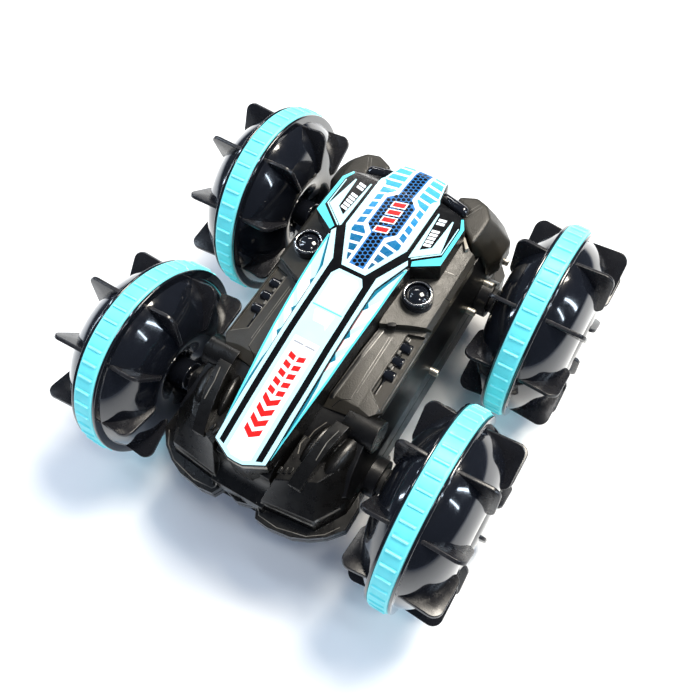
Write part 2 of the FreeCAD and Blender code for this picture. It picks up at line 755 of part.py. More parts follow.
def arch_form(name):
    """The right-hand curved strip from the bumper to the rail, with the bullet-shaped pod beside it."""
    band = across(name + "_band", [(-68.6, 17.0), (-68.6, 20.4), (-58.5, 25.6, "via"), (-43, 27.4),
                                   (-41.5, 27.2), (-41.5, 14.0)], REACH)
    strip_plan = prism(name + "_strip_plan", "XY", [(18.0, -70), (23.2, -70), (28.2, -41), (22.9, -41)], 0,
                       REACH)
    pod = doc.addObject("Part::Ellipsoid", name + "_pod")
    pod.Radius1, pod.Radius2, pod.Radius3 = 5.6, 11.0, 4.4
    pod.Angle1, pod.Angle2, pod.Angle3 = -90, 90, 360
    pod.Placement = Placement(Vector(29.2, -50.5, 17.0), Rotation(Vector(0, 0, 1), 82))
    slot = doc.addObject("Part::Ellipsoid", name + "_slot")
    slot.Radius1, slot.Radius2, slot.Radius3 = 4.0, 9.0, 2.6
    slot.Angle1, slot.Angle2, slot.Angle3 = -90, 90, 360
    slot.Placement = Placement(Vector(19.2, -50.5, 20.0), Rotation(Vector(0, 0, 1), 82))
    stub = rod(name + "_stub", 6.6, 24.0, 37.4, -37.0, 18.4)
    return fuse(name, common(name + "_strip", band, strip_plan), pod, slot, stub)


def left_of(name, source):
    return mirrored(name, source, (0, 0, 0), (1, 0, 0))


rail_right = rail_form("rail_right")
lamp_right = lamp_pod("rear_lamp_right")
fender_right = fender_form("fender_right")
bumper = bumper_form("bumper")
arch_right = arch_form("arch_right")

fender_plain = cut("fender_plain", fender_right, solid_tub, cover_solid)
fender_cut = cut("fender_cut", fender_plain, lamp_right)
rail_cut = cut("rail_cut", rail_right, solid_tub, cover_solid, fender_plain)
guards = [box(f"housing_guard{i}", (low, -54.2, -1), (low + 22, -40, 9)) for i, low in enumerate((-60, 38))]
bumper_cut = cut("bumper_cut", bumper, solid_tub, cover_solid, *guards)
arch_cut = cut("arch_cut", arch_right, solid_tub, cover_solid, bumper_cut, rail_cut)
left_rail = left_of("left_rail", rail_cut)
left_fender = left_of("left_fender", fender_cut)
left_fender_plain = left_of("left_fender_plain", fender_plain)
left_arch = left_of("left_arch", arch_cut)
left_lamp = left_of("left_lamp", lamp_right)


# ---------------------------------------------------------------- shells

BOSSES = [(-18, -52, 15.0), (18, -52, 15.0), (-20, 61.6, 13.8), (20, 61.6, 13.8)]
BOSS_RADIUS = 4.0
HOUSING_RADIUS = 8.0


def housings(name, low):
    """The upper halves of the round axle housings on both flanks."""
    halves = []
    for i, (side, end) in enumerate(WHEELS.values()):
        y = end * half_base
        outer = rod(f"{name}_outer{i}", HOUSING_RADIUS, *sorted((side * 38.0, side * HOUSING_HIGH)), y, 0)
        whole = rod(f"{name}_whole{i}", HOUSING_RADIUS, *sorted((side * HOUSING_LOW, side * HOUSING_HIGH)), y,
                    0)
        above_seal = box(f"{name}_above_seal{i}", (-60, y - 10, low), (60, y + 10, 20))
        above_seam = box(f"{name}_above_seam{i}", (-60, y - 10, 0.05), (60, y + 10, 20))
        halves += [common(f"{name}_inner{i}", whole, above_seal),
                   common(f"{name}_half{i}", outer, above_seam)]
    return halves


def bush_holes(name):
    return [rod(f"{name}{i}", dim("bush_radius"),
                *sorted((side * (HOUSING_LOW - 1), side * (HOUSING_HIGH + 1))),
                end * half_base, 0) for i, (side, end) in enumerate(WHEELS.values())]


def tub_shell(name):
    """A half tub: walls, deck with two openings, axle housings and screw bosses."""
    walls = cut(name + "_walls", tub_form(name + "_outside", SEAL_HALF),
                tub_form(name + "_inside", -1.0, SKIN),
                box(name + "_front_opening", (-13, -26.5, 15), (13, 26, 30)),
                box(name + "_rear_opening", (-13, 34, 15), (13, 50, 30)))
    bosses = [cylinder(f"{name}_boss{i}", BOSS_RADIUS, top - SEAL_HALF, (x, y, SEAL_HALF))
              for i, (x, y, top) in enumerate(BOSSES)]
    return cut(name + "_open", fuse(name + "_solid", walls, *housings(name + "_housing", SEAL_HALF), *bosses),
               *bush_holes(name + "_bush"))


def cover_shell(name, *tools):
    """The hollow middle cover, with extra tools cut from it."""
    inside_spine = layered(name + "_in_spine", spine_plan(2.0), DECAL + STEP + SKIN, 5.0, 2.0)
    inside_hood = layered(name + "_in_hood", hood_plan(2.5), DECAL + STEP + SKIN, 32.5)
    return cut(name, cover_solid, inside_spine, inside_hood, *tools)


upper_tub = tub_shell("upper_tub")
board_posts = [cylinder(f"board_post{i}", 1.6, 2.5, (x, y, DECK))
               for i, (x, y) in enumerate(((-9, -28.2), (9, -28.2), (-9, 28.2), (9, 28.2)))]
thread_holes = [cylinder(f"thread_hole{i}", dim("screw_radius"), top - 1.5, (x, y, 0))
                for i, (x, y, top) in enumerate(BOSSES)]
lift("upper_shell",
     cut("upper_shell_body", fuse("upper_shell_solid", upper_tub, *board_posts), *thread_holes))

button_gap = 0.3
button_plan = [(-dim("button_half"), dim("button_front")), (dim("button_half"), dim("button_front")),
               (dim("button_half"), dim("button_rear")), (-dim("button_half"), dim("button_rear"))]


def rectangle(half, front, rear):
    return [(-half, front), (half, front), (half, rear), (-half, rear)]


def around_button(grow):
    return rectangle(dim("button_half") + grow, dim("button_front") - grow, dim("button_rear") + grow)


button_opening = prism("button_opening", "XY", around_button(button_gap), 20.0, 30.0)
lift("top_cover", cover_shell("top_cover_body", button_opening, lamp_right, left_lamp))
lift("decals", cut("decals_body", cover_form("decal_outside", 0.0), cover_outside, button_opening))

lift("side_rail_right", rail_cut)
lift("side_rail_left", left_rail)
lift("rear_fender_right", fender_cut)
lift("rear_fender_left", left_fender)
lift("front_bumper", bumper_cut)
lift("front_arches", arch_cut, left_arch)
lift("rear_lamps", lamp_right, left_lamp)


# ---------------------------------------------------------------- lamps, button, board, seal

LAMP_X, LAMP_Y, LAMP_TOP = 24.2, 14.9, 34.1
lens_radius = dim("lamp_radius") - 1.2
rings, lenses = [], []
for i, side in enumerate((-1, 1)):
    ground = (rail_cut if side > 0 else left_rail, cover_solid)
    tube = cylinder(f"lamp_tube{i}", dim("lamp_radius"), 12.0, (side * LAMP_X, LAMP_Y, LAMP_TOP - 12.0))
    hole = cylinder(f"lamp_hole{i}", lens_radius, 20.0, (side * LAMP_X, LAMP_Y, LAMP_TOP - 15.0))
    rings.append(cut(f"lamp_ring{i}", tube, hole, *ground))
    ball = doc.addObject("Part::Sphere", f"lamp_ball{i}")
    ball.Radius = 6.4
    ball.Placement.Base = Vector(side * LAMP_X, LAMP_Y, LAMP_TOP - 6.0)
    core = cylinder(f"lamp_core{i}", lens_radius, 20.0, (side * LAMP_X, LAMP_Y, LAMP_TOP - 12.0))
    lenses.append(cut(f"lamp_lens{i}", common(f"lamp_dome{i}", ball, core), *ground))
lift("lamp_rings", *rings)
lift("lamp_lenses", *lenses)

BUTTON_Y = -16.0
BOARD_LOW, BOARD_HIGH = 24.5, 26.1
STEM_LOW = 30.5
button_plate = cut("button_plate", layered("button_block", button_plan, 0.0, 25.0),
                   layered("button_under", rectangle(20, -40, 10), 2.4, 20.0))
stem = common("button_stem", cylinder("button_rod", 1.6, 12.0, (0, BUTTON_Y, STEM_LOW)),
              layered("button_stem_top", rectangle(20, -40, 10), 1.0, 20.0))
lift("power_button", fuse("power_button_body", button_plate, stem))

SEAL_TOP = DECAL + STEP + SKIN
frame_block = cut("button_seal_block", layered("button_seal_outer", around_button(2.6), SEAL_TOP, 25.0),
                  layered("button_seal_under", rectangle(20, -40, 10), SEAL_TOP + 0.7, 20.0))
lift("button_seal", cut("button_seal_body", frame_block,
                        prism("button_seal_hole", "XY", around_button(0.4), 20.0, 30.0)))

board = box("board", (-11.8, -30, BOARD_LOW), (11.8, 30, BOARD_HIGH))
chip = box("receiver_chip", (-4, 2, BOARD_HIGH), (4, 10, BOARD_HIGH + 1.4))
driver = box("motor_driver", (-4.5, 15, BOARD_HIGH), (4.5, 21, BOARD_HIGH + 1.6))
switch = fuse("tact_switch",
              box("switch_base", (-3, BUTTON_Y - 3, BOARD_HIGH), (3, BUTTON_Y + 3, BOARD_HIGH + 2.8)),
              cylinder("switch_plunger", 1.3, 0.9, (0, BUTTON_Y, BOARD_HIGH + 2.7)))
antenna = cylinder("antenna_wire", 0.5, 26.0, (8.0, 26.0, BOARD_HIGH + 0.5), Rotation(Vector(1, 0, 0), -90))
lift("circuit_board", board, chip, driver, switch, antenna)

lift("shell_seal", cut("shell_seal_body",
                       prism("seal_outside", "XY", tub_plan(), -SEAL_HALF, 2 * SEAL_HALF),
                       prism("seal_inside", "XY", tub_plan(SKIN), -2.0, 4.0), *bush_holes("seal_bush")))


# ---------------------------------------------------------------- lower shell, battery and screws

# The underside repeats the top, so it is built the same way up and then mirrored in the seam plane.

DOOR = (9.6, -34.0, 34.0)
LEDGE = (7.9, -28.0, 28.0)
DOOR_GAP = 0.2
DOOR_UNDER, LEDGE_TOP = 2.1, 2.6
DOOR_SCREWS = [(-31.0, 34.7), (31.0, 38.4)]
WIDE = rectangle(20, -60, 60)


def slab(name, plan, top, under):
    """A sheet that follows the top line between two depths, inside a plan outline."""
    return cut(name, layered(name + "_block", plan, top, 20.0), layered(name + "_below", WIDE, under, 15.0))


lower_tub = tub_shell("lower_tub")
recess = layered("door_recess", rectangle(DOOR[0] + DOOR_GAP, DOOR[1] - DOOR_GAP, DOOR[2] + DOOR_GAP), -5.0,
                 20.0)
recess_floor = layered("door_recess_floor", WIDE, LEDGE_TOP, 15.0)
door_opening = prism("door_opening", "XY", rectangle(*LEDGE), 24.0, 30.0)
door_posts = [cylinder(f"door_post{i}", 2.4, 5.3, (0, y, high - 7.7))
              for i, (y, high) in enumerate(DOOR_SCREWS)]
lower_cover = cover_shell("lower_cover", cut("door_recess_cut", recess, recess_floor), door_opening)
counterbores = [cylinder(f"counterbore{i}", 3.0, 40.0, (x, y, 12.0)) for i, (x, y, _) in enumerate(BOSSES)]
clearances = [cylinder(f"clearance{i}", 1.4, 14.0, (x, y, -1.0)) for i, (x, y, _) in enumerate(BOSSES)]
door_threads = [cylinder(f"door_thread{i}", 0.9, 6.0, (0, y, high - 6.0))
                for i, (y, high) in enumerate(DOOR_SCREWS)]
lower_solid = fuse("lower_solid", lower_tub, lower_cover, rail_cut, left_rail, fender_plain,
                   left_fender_plain,
                   bumper_cut, arch_cut, left_arch, *door_posts)
lower_upright = cut("lower_upright", lower_solid, *counterbores, *clearances, *door_threads)

door_holes = [cylinder(f"door_hole{i}", 0.9, 12.0, (0, y, high - 6.0))
              for i, (y, high) in enumerate(DOOR_SCREWS)]
door_sinks = [cylinder(f"door_sink{i}", 2.0, 12.0, (0, y, high - 1.0))
              for i, (y, high) in enumerate(DOOR_SCREWS)]
door_upright = cut("door_upright", slab("door_slab", rectangle(*DOOR), DECAL, DOOR_UNDER), *door_holes,
                   *door_sinks)
seal_upright = cut("door_seal_upright", slab("door_seal_slab", rectangle(*DOOR), DOOR_UNDER, LEDGE_TOP),
                   prism("door_seal_hole", "XY", rectangle(*LEDGE), 20.0, 30.0), *door_holes)
door_screws = []
for i, (y, high) in enumerate(DOOR_SCREWS):
    door_screws.append(fuse(f"door_screw{i}", cylinder(f"door_screw_head{i}", 2.0, 1.0, (0, y, high - 1.0)),
                            cylinder(f"door_screw_shank{i}", 0.9, 5.0, (0, y, high - 6.0))))
door_screw_group = doc.addObject("Part::Compound", "door_screw_group")
door_screw_group.Links = door_screws
battery_upright = cylinder("battery_upright", 7.0, 50.0, (0, -25, 25.5), Rotation(Vector(1, 0, 0), -90))

for label, upright in (("lower_shell", lower_upright), ("battery_door", door_upright),
                       ("battery_door_seal", seal_upright), ("battery_door_screws", door_screw_group),
                       ("battery", battery_upright)):
    lift(label, mirrored(label + "_mirror", upright, (0, 0, 0), (0, 0, 1)))

lift("case_screws", *[
    fuse(f"case_screw{i}", cylinder(f"case_screw_head{i}", dim("head_radius"), 2.0, (x, y, -14.0)),
         cylinder(f"case_screw_shank{i}", dim("screw_radius"), 24.0, (x, y, -12.0)))
    for i, (x, y, _) in enumerate(BOSSES)])

# ---------------------------------------------------------------- checks and files

doc.recompute()
for item in doc.Objects:
    if any(state in ("Invalid", "Error") for state in item.State):
        raise RuntimeError(f"{item.Name} failed: {item.State}")

os.makedirs("parts", exist_ok=True)
for label, item in nodes.items():
    shape = item.Shape
    if shape.isNull() or not shape.isValid() or shape.Volume <= 0:
        raise RuntimeError(f"{label} is not a valid solid")
    shape.exportStep(f"parts/{label}.step")
    low, high = shape.BoundBox.ZMin, shape.BoundBox.ZMax
    print(f"{label}: {len(shape.Solids)} solid(s), {shape.Volume:.0f} mm3, z {low:.1f} to {high:.1f}")
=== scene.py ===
"""The looks of a double-sided, four-wheel remote-control stunt car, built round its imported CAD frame."""

import math

import bmesh
import bpy
from mathutils import Matrix, Vector
from mathutils.bvhtree import BVHTree


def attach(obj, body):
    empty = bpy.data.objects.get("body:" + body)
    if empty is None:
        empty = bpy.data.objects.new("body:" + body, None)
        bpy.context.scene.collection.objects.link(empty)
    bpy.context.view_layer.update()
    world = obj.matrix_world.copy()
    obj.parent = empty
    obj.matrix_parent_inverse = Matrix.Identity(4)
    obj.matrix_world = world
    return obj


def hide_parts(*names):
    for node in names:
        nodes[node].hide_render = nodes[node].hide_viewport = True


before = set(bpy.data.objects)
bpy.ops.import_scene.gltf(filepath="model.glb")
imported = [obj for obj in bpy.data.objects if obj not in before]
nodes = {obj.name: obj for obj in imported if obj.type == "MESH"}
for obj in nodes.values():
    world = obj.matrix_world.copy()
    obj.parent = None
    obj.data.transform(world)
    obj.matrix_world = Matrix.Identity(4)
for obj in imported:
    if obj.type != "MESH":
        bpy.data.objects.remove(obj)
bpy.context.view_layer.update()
scene = bpy.context.scene

MM = 0.001
SEAM = 42.0            # height of the plane where the two body shells meet, in millimetres
SIDES = (("right", 1), ("left", -1))

# ---------------------------------------------------------------- camera, lights and floor

AZIMUTH, ELEVATION, ROLL = (math.radians(a) for a in (33.04, 64.77, -3.36))
back = Vector((math.sin(AZIMUTH) * math.cos(ELEVATION), -math.cos(AZIMUTH) * math.cos(ELEVATION),
               math.sin(ELEVATION)))
level = Vector((math.cos(AZIMUTH), math.sin(AZIMUTH), 0))
upright = back.cross(level)
right = level * math.cos(ROLL) + upright * math.sin(ROLL)
up = upright * math.cos(ROLL) - level * math.sin(ROLL)

camera_data = bpy.data.cameras.new("camera")
camera_data.lens = 39.69
camera_data.sensor_width = 36.0
camera_data.shift_x = -0.0576
camera_data.shift_y = 0.0471
camera_data.clip_start = 0.01
camera = bpy.data.objects.new("camera", camera_data)
camera.matrix_world = Matrix((
    (right.x, up.x, back.x, 0.0971), (right.y, up.y, back.y, -0.1195), (right.z, up.z, back.z,
                                                                        0.3224), (0, 0, 0, 1)))
scene.collection.objects.link(camera)
scene.camera = camera
scene.view_settings.view_transform = "Standard"
scene.view_settings.look = "None"
scene.view_settings.exposure = 0.0

world = bpy.data.worlds.new("studio")
world.use_nodes = True
fill = world.node_tree.nodes["Background"]
fill.inputs["Color"].default_value = (0.60, 0.72, 1.0, 1)
gloss_only = world.node_tree.nodes.new("ShaderNodeLightPath").outputs["Is Glossy Ray"]
fill_level = world.node_tree.nodes.new("ShaderNodeMapRange")
fill_level.inputs["To Min"].default_value = 0.46
fill_level.inputs["To Max"].default_value = 0.10
world.node_tree.links.new(gloss_only, fill_level.inputs["Value"])
world.node_tree.links.new(fill_level.outputs["Result"], fill.inputs["Strength"])
scene.world = world


def area_light(name, place, target, width, height, power, colour):
    """A rectangular softbox that faces the target."""
    lamp = bpy.data.lights.new(name, "AREA")
    lamp.shape = "RECTANGLE"
    lamp.size = width
    lamp.size_y = height
    lamp.energy = power
    lamp.color = colour
    obj = bpy.data.objects.new(name, lamp)
    obj.location = place
    obj.rotation_mode = "QUATERNION"
    obj.rotation_quaternion = (Vector(target) - Vector(place)).to_track_quat("-Z", "Y")
    scene.collection.objects.link(obj)


WARM, NEUTRAL, COOL = (1.0, 0.93, 0.82), (1.0, 0.98, 0.95), (0.72, 0.85, 1.0)
CENTRE = (0, 0, 0.04)
area_light("key", (0.26, 0.58, 1.05), CENTRE, 0.42, 0.42, 20.0, WARM)
area_light("near_camera", (0.30, -0.10, 0.85), CENTRE, 0.07, 0.10, 0.8, NEUTRAL)
area_light("left_window", (-0.72, -0.14, 0.50), CENTRE, 0.05, 0.60, 2.2, COOL)
area_light("left_pane", (-0.64, 0.12, 0.62), CENTRE, 0.03, 0.45, 1.1, COOL)
area_light("right_window", (0.78, 0.26, 0.48), CENTRE, 0.05, 0.60, 2.2, COOL)
area_light("right_pane", (0.72, 0.00, 0.60), CENTRE, 0.03, 0.40, 1.0, COOL)
area_light("back_window", (-0.38, 0.62, 0.62), CENTRE, 0.24, 0.05, 0.9, NEUTRAL)

# ---------------------------------------------------------------- materials


class Tree:
    """A material's node tree, with short calls to add and join nodes."""

    def __init__(self, name, base, rough, metallic=0.0, coat=0.0, coat_rough=0.03):
        self.material = bpy.data.materials.new(name)
        self.material.use_nodes = True
        self.tree = self.material.node_tree
        self.shader = self.tree.nodes["Principled BSDF"]
        self.shader.inputs["Base Color"].default_value = (*base, 1)
        self.shader.inputs["Roughness"].default_value = rough
        self.shader.inputs["Metallic"].default_value = metallic
        self.shader.inputs["Coat Weight"].default_value = coat
        self.shader.inputs["Coat Roughness"].default_value = coat_rough
        self.place = self.add("ShaderNodeTexCoord").outputs["Object"]

    def add(self, kind, **values):
        node = self.tree.nodes.new(kind)
        for key, value in values.items():
            if hasattr(node, key):
                setattr(node, key, value)
            else:
                node.inputs[key.replace("_", " ")].default_value = value
        return node

    def join(self, source, target):
        self.tree.links.new(source, target)

    def noise(self, size, detail=3.0, rough=0.5):
        """Noise whose features are about size millimetres across."""
        node = self.add("ShaderNodeTexNoise")
        node.inputs["Scale"].default_value = 1.0 / (size * MM)
        node.inputs["Detail"].default_value = detail
        node.inputs["Roughness"].default_value = rough
        self.join(self.place, node.inputs["Vector"])
        return node.outputs["Fac"]

    def ramp(self, source, *stops):
        node = self.add("ShaderNodeValToRGB")
        elements = node.color_ramp.elements
        for position, colour in stops[2:]:
            elements.new(position)
        for element, (position, colour) in zip(elements, sorted(stops, key=lambda stop: stop[0])):
            element.position = position
            element.color = (*colour, 1)
        self.join(source, node.inputs["Fac"])
        return node.outputs["Color"]

    def spread(self, source, low, high):
        node = self.add("ShaderNodeMapRange")
        node.inputs["From Min"].default_value = 0.3
        node.inputs["From Max"].default_value = 0.7
        node.inputs["To Min"].default_value = low
        node.inputs["To Max"].default_value = high
        self.join(source, node.inputs["Value"])
        return node.outputs["Result"]

    def blend(self, factor, first, second, mode="MIX"):
        node = self.add("ShaderNodeMix", data_type="RGBA", blend_type=mode)
        for socket, value in ((node.inputs[0], factor), (node.inputs[6], first), (node.inputs[7], second)):
            if isinstance(value, (int, float)):
                socket.default_value = value
            elif isinstance(value, tuple):
                socket.default_value = (*value, 1)
            else:
                self.join(value, socket)
        return node.outputs[2]

    def bump(self, source, height, strength=1.0, before=None):
        """Raise the surface by up to height millimetres."""
        node = self.add("ShaderNodeBump")
        node.inputs["Distance"].default_value = height * MM
        node.inputs["Strength"].default_value = strength
        self.join(source, node.inputs["Height"])
        if before:
            self.join(before, node.inputs["Normal"])
        self.join(node.outputs["Normal"], self.shader.inputs["Normal"])
        return node.outputs["Normal"]


def scaled(colour, factor):
    return tuple(min(1.0, channel * factor) for channel in colour)


def plastic(name, base, rough, mottle=0.15, patch=9.0, spread=0.08, grain=0.03, grain_size=0.35,
            wave=0.0, edge=None, painted_glow=0.0, coat=0.0, coat_rough=0.03):
    """Moulded plastic: colour and gloss drift over patches, a fine grain, and, given an edge colour, paler
    edges as a painted highlight.

    A glow is painted light: the surface also gives off its own colour, so its shaded sides stay bright.
    """
    tree = Tree(name, base, rough, 0.0, coat, coat_rough)
    drift = tree.noise(patch, 4.0)
    colour = tree.ramp(drift, (0.3, scaled(base, 1 - mottle)), (0.7, scaled(base, 1 + mottle)))
    # Pointy edges take the edge colour: a painted highlight, paler along the edges.
    if edge:
        painted_edge_highlight = tree.ramp(tree.add("ShaderNodeNewGeometry").outputs["Pointiness"],
                         (0.52, (0, 0, 0)), (0.62, (1, 1, 1)))
        colour = tree.blend(painted_edge_highlight, colour, edge)
    tree.join(colour, tree.shader.inputs["Base Color"])
    # Painted light: the colour is emitted too, so shaded sides stay bright.
    if painted_glow:
        tree.join(colour, tree.shader.inputs["Emission Color"])
        tree.shader.inputs["Emission Strength"].default_value = painted_glow
    tree.join(tree.spread(tree.noise(patch * 0.4, 5.0), rough - spread, rough + spread),
              tree.shader.inputs["Roughness"])
    normal = tree.bump(tree.noise(grain_size, 4.0, 0.6), grain, 0.6) if grain else None
    if wave:
        tree.bump(tree.noise(14.0, 1.0), wave, 0.5, normal)
    return tree.material


def printed(name, base, rough=0.22, coat=0.35):
    """Ink on a glossy film, with faint dots and a slight ripple of the film."""
    tree = Tree(name, base, rough, coat=coat, coat_rough=0.12)
    dots = tree.add("ShaderNodeTexVoronoi")
    dots.inputs["Scale"].default_value = 1.0 / (0.22 * MM)
    tree.join(tree.place, dots.inputs["Vector"])
    shade = tree.ramp(dots.outputs["Distance"], (0.0, scaled(base, 0.94)), (0.6, scaled(base, 1.04)))
    drift = tree.ramp(tree.noise(6.0, 4.0), (0.3, (0.94, 0.95, 0.96)), (0.7, (1, 1, 1)))
    tree.join(tree.blend(1.0, shade, drift, "MULTIPLY"), tree.shader.inputs["Base Color"])
    tree.join(tree.spread(tree.noise(3.0, 4.0), rough - 0.02, rough + 0.05), tree.shader.inputs["Roughness"])
    tree.bump(tree.noise(5.0, 2.0), 0.02, 0.4)
    return tree.material


def metal(name, base, rough, patch=2.0):
    """Bare metal with a little tarnish and a fine bump."""
    tree = Tree(name, base, rough, metallic=1.0)
    colour = tree.ramp(tree.noise(patch, 5.0), (0.3, scaled(base, 0.78)), (0.7, base))
    tree.join(colour, tree.shader.inputs["Base Color"])
    tree.join(tree.spread(tree.noise(patch * 0.5, 5.0), rough - 0.06, rough + 0.12),
              tree.shader.inputs["Roughness"])
    tree.bump(tree.noise(0.2, 3.0), 0.01, 0.5)
    return tree.material


BLACK_GLOSS = plastic("gloss_black", (0.006, 0.007, 0.010), 0.13, spread=0.04, grain=0.004, grain_size=1.2,
                      wave=0.25, coat=1.0, coat_rough=0.03)
# The paddles' paler edge colour is a painted highlight along their edges.
PADDLE = plastic("paddle_black", (0.011, 0.011, 0.013), 0.26, spread=0.06, grain=0.01, grain_size=0.6,
                 wave=0.12,
                 edge=(0.03, 0.03, 0.032))
BODY = plastic("body_satin", (0.0045, 0.0043, 0.004), 0.30, spread=0.07, grain=0.05, grain_size=0.28)
PANEL = plastic("panel_satin", (0.023, 0.020, 0.0145), 0.36, spread=0.06, grain=0.20, grain_size=0.5,
                mottle=0.25)
SHELL = plastic("shell_satin", (0.0035, 0.0036, 0.0042), 0.34, spread=0.06, grain=0.03, grain_size=0.4)
# A pale gloss for rounded edges and fine beads: a painted highlight where edges catch the light.
EDGE_HIGHLIGHT = plastic("edge_painted_highlight", (0.16, 0.15, 0.13), 0.20, spread=0.05, grain=0.01, patch=5.0, mottle=0.5)
# The band's glow is painted light that keeps its shaded sides bright; its pale edge colour is a painted
# highlight.
BAND = plastic("band_rubber", (0.15, 0.76, 0.80), 0.42, painted_glow=0.18, mottle=0.07, patch=7.0, spread=0.06,
               grain=0.03,
               grain_size=0.25, edge=(0.50, 0.95, 0.97))
SEAL = plastic("seal_rubber", (0.02, 0.02, 0.02), 0.65, grain=0.03)
NYLON = plastic("gear_nylon", (0.78, 0.77, 0.72), 0.42, mottle=0.05)
COVER = plastic("gearbox_plastic", (0.03, 0.03, 0.035), 0.45)
BOARD = plastic("board_green", (0.01, 0.11, 0.04), 0.35, mottle=0.2, patch=2.0)
WRAP = plastic("battery_wrap", (0.02, 0.10, 0.42), 0.28, mottle=0.08)
STEEL = metal("steel", (0.62, 0.61, 0.59), 0.24)
PIN = metal("pin_metal", (0.78, 0.74, 0.64), 0.32, 1.0)
CHROME = metal("lamp_metal", (0.80, 0.80, 0.79), 0.16, 1.5)
BRASS = metal("bush_brass", (0.72, 0.52, 0.20), 0.28)
CAN = metal("motor_can", (0.55, 0.55, 0.54), 0.30)

WHITE = printed("print_white", (0.86, 0.90, 0.91))
PALE = printed("print_pale", (0.50, 0.82, 0.87))
CYAN = printed("print_cyan", (0.10, 0.68, 0.78))
TEAL = printed("print_teal", (0.01, 0.20, 0.30))
BLACK = printed("print_black", (0.003, 0.003, 0.0035), 0.17, 0.0)
RED = printed("print_red", (0.90, 0.012, 0.010))
BLUSH = printed("print_blush", (0.80, 0.42, 0.42))
KEY = plastic("button_white", (0.90, 0.93, 0.93), 0.28, mottle=0.03, spread=0.04, grain=0.01, coat=0.3)
GREY = printed("print_grey", (0.35, 0.36, 0.38))
COMB = printed("print_comb", (0.03, 0.17, 0.44))


def ladder_ink():
    """Blue ink that runs from deep teal at the front of the hood to sky blue at its rear."""
    tree = Tree("print_ladder", (0.02, 0.30, 0.55), 0.25, coat=0.35, coat_rough=0.12)
    split = tree.add("ShaderNodeSeparateXYZ")
    tree.join(tree.place, split.inputs["Vector"])
    along = tree.add("ShaderNodeMapRange")
    along.inputs["From Min"].default_value = 0.010
    along.inputs["From Max"].default_value = 0.064
    tree.join(split.outputs["Y"], along.inputs["Value"])
    colour = tree.ramp(along.outputs["Result"], (0.0, (0.0, 0.07, 0.15)), (1.0, (0.10, 0.50, 0.82)),
                       (0.45, (0.0, 0.19, 0.42)), (0.7, (0.03, 0.34, 0.68)))
    drift = tree.ramp(tree.noise(1.2, 4.0), (0.3, (0.82, 0.86, 0.9)), (0.7, (1, 1, 1)))
    tree.join(tree.blend(1.0, colour, drift, "MULTIPLY"), tree.shader.inputs["Base Color"])
    tree.join(tree.spread(tree.noise(2.0), 0.2, 0.34), tree.shader.inputs["Roughness"])
    tree.bump(tree.noise(5.0, 2.0), 0.02, 0.4)
    return tree.material


LADDER = ladder_ink()
TAB = plastic("tab_cream", (0.42, 0.38, 0.31), 0.35, mottle=0.1, grain=0.02)


def floor_finish():
    """Matt white paper, faintly uneven."""
    tree = Tree("floor_paper", (0.95, 0.95, 0.93), 0.75)
    tree.join(tree.ramp(tree.noise(40.0, 3.0), (0.3, (0.94, 0.94, 0.92)), (0.7, (0.96, 0.96, 0.94))),
              tree.shader.inputs["Base Color"])
    return tree.material


# ---------------------------------------------------------------- mesh tools


def arc(a, b, c, steps):
    """Points on the arc from a through b to c, after a itself."""
    (ax, ay), (bx, by), (cx, cy) = a, b, c
    twice = 2 * (ax * (by - cy) + bx * (cy - ay) + cx * (ay - by))
    sa, sb, sc = ax * ax + ay * ay, bx * bx + by * by, cx * cx + cy * cy
    ux = (sa * (by - cy) + sb * (cy - ay) + sc * (ay - by)) / twice
    uy = (sa * (cx - bx) + sb * (ax - cx) + sc * (bx - ax)) / twice
    radius = math.hypot(ax - ux, ay - uy)
    start, middle, stop = (math.atan2(y - uy, x - ux) for x, y in (a, b, c))
    sweep = (stop - start) % math.tau
    if (middle - start) % math.tau > sweep:
        sweep -= math.tau
    return [(ux + radius * math.cos(start + sweep * i / steps),
             uy + radius * math.sin(start + sweep * i / steps))
            for i in range(1, steps + 1)]


def rounded(points, radius, steps=4, only=None):
    """A closed outline with its corners eased by about the radius."""
    result = []
    for i, point in enumerate(points):
        p = Vector(point)
        before, after = Vector(points[i - 1]) - p, Vector(points[(i + 1) % len(points)]) - p
        turn = before.angle(-after, 0.0)
        if (only is not None and i not in only) or turn < math.radians(8):
            result.append(tuple(p))
            continue
        reach = min(radius * math.tan(turn / 2), 0.45 * before.length, 0.45 * after.length)
        first, last = p + before.normalized() * reach, p + after.normalized() * reach
        for step in range(steps + 1):
            t = step / steps
            result.append(tuple(first * (1 - t) ** 2 + p * 2 * t * (1 - t) + last * t ** 2))
    return result


def lathe(profile, count):
    """Turn a closed profile of (along, radius) points about X."""
    verts, faces = [], []
    size = len(profile)
    for step in range(count):
        angle = math.tau * step / count
        verts += [(a, r * math.sin(angle), r * math.cos(angle)) for a, r in profile]
    for step in range(count):
        here, there = step * size, (step + 1) % count * size
        faces += [(here + i, here + (i + 1) % size, there + (i + 1) % size, there + i) for i in range(size)]
    return verts, faces


def moved(part, matrix):
    """The part with each vertex put through the matrix."""
    verts, faces = part
    return [tuple(matrix @ Vector(v)) for v in verts], faces


def joined(*parts):
    """Several parts as one."""
    verts, faces = [], []
    for part_verts, part_faces in parts:
        start = len(verts)
        verts += part_verts
        faces += [tuple(start + i for i in face) for face in part_faces]
    return verts, faces


def rectangle(half_x, half_y, x=0.0, y=0.0):
    """The outline of a rectangle round (x, y)."""
    return [(x - half_x, y - half_y), (x + half_x, y - half_y), (x + half_x, y + half_y),
            (x - half_x, y + half_y)]


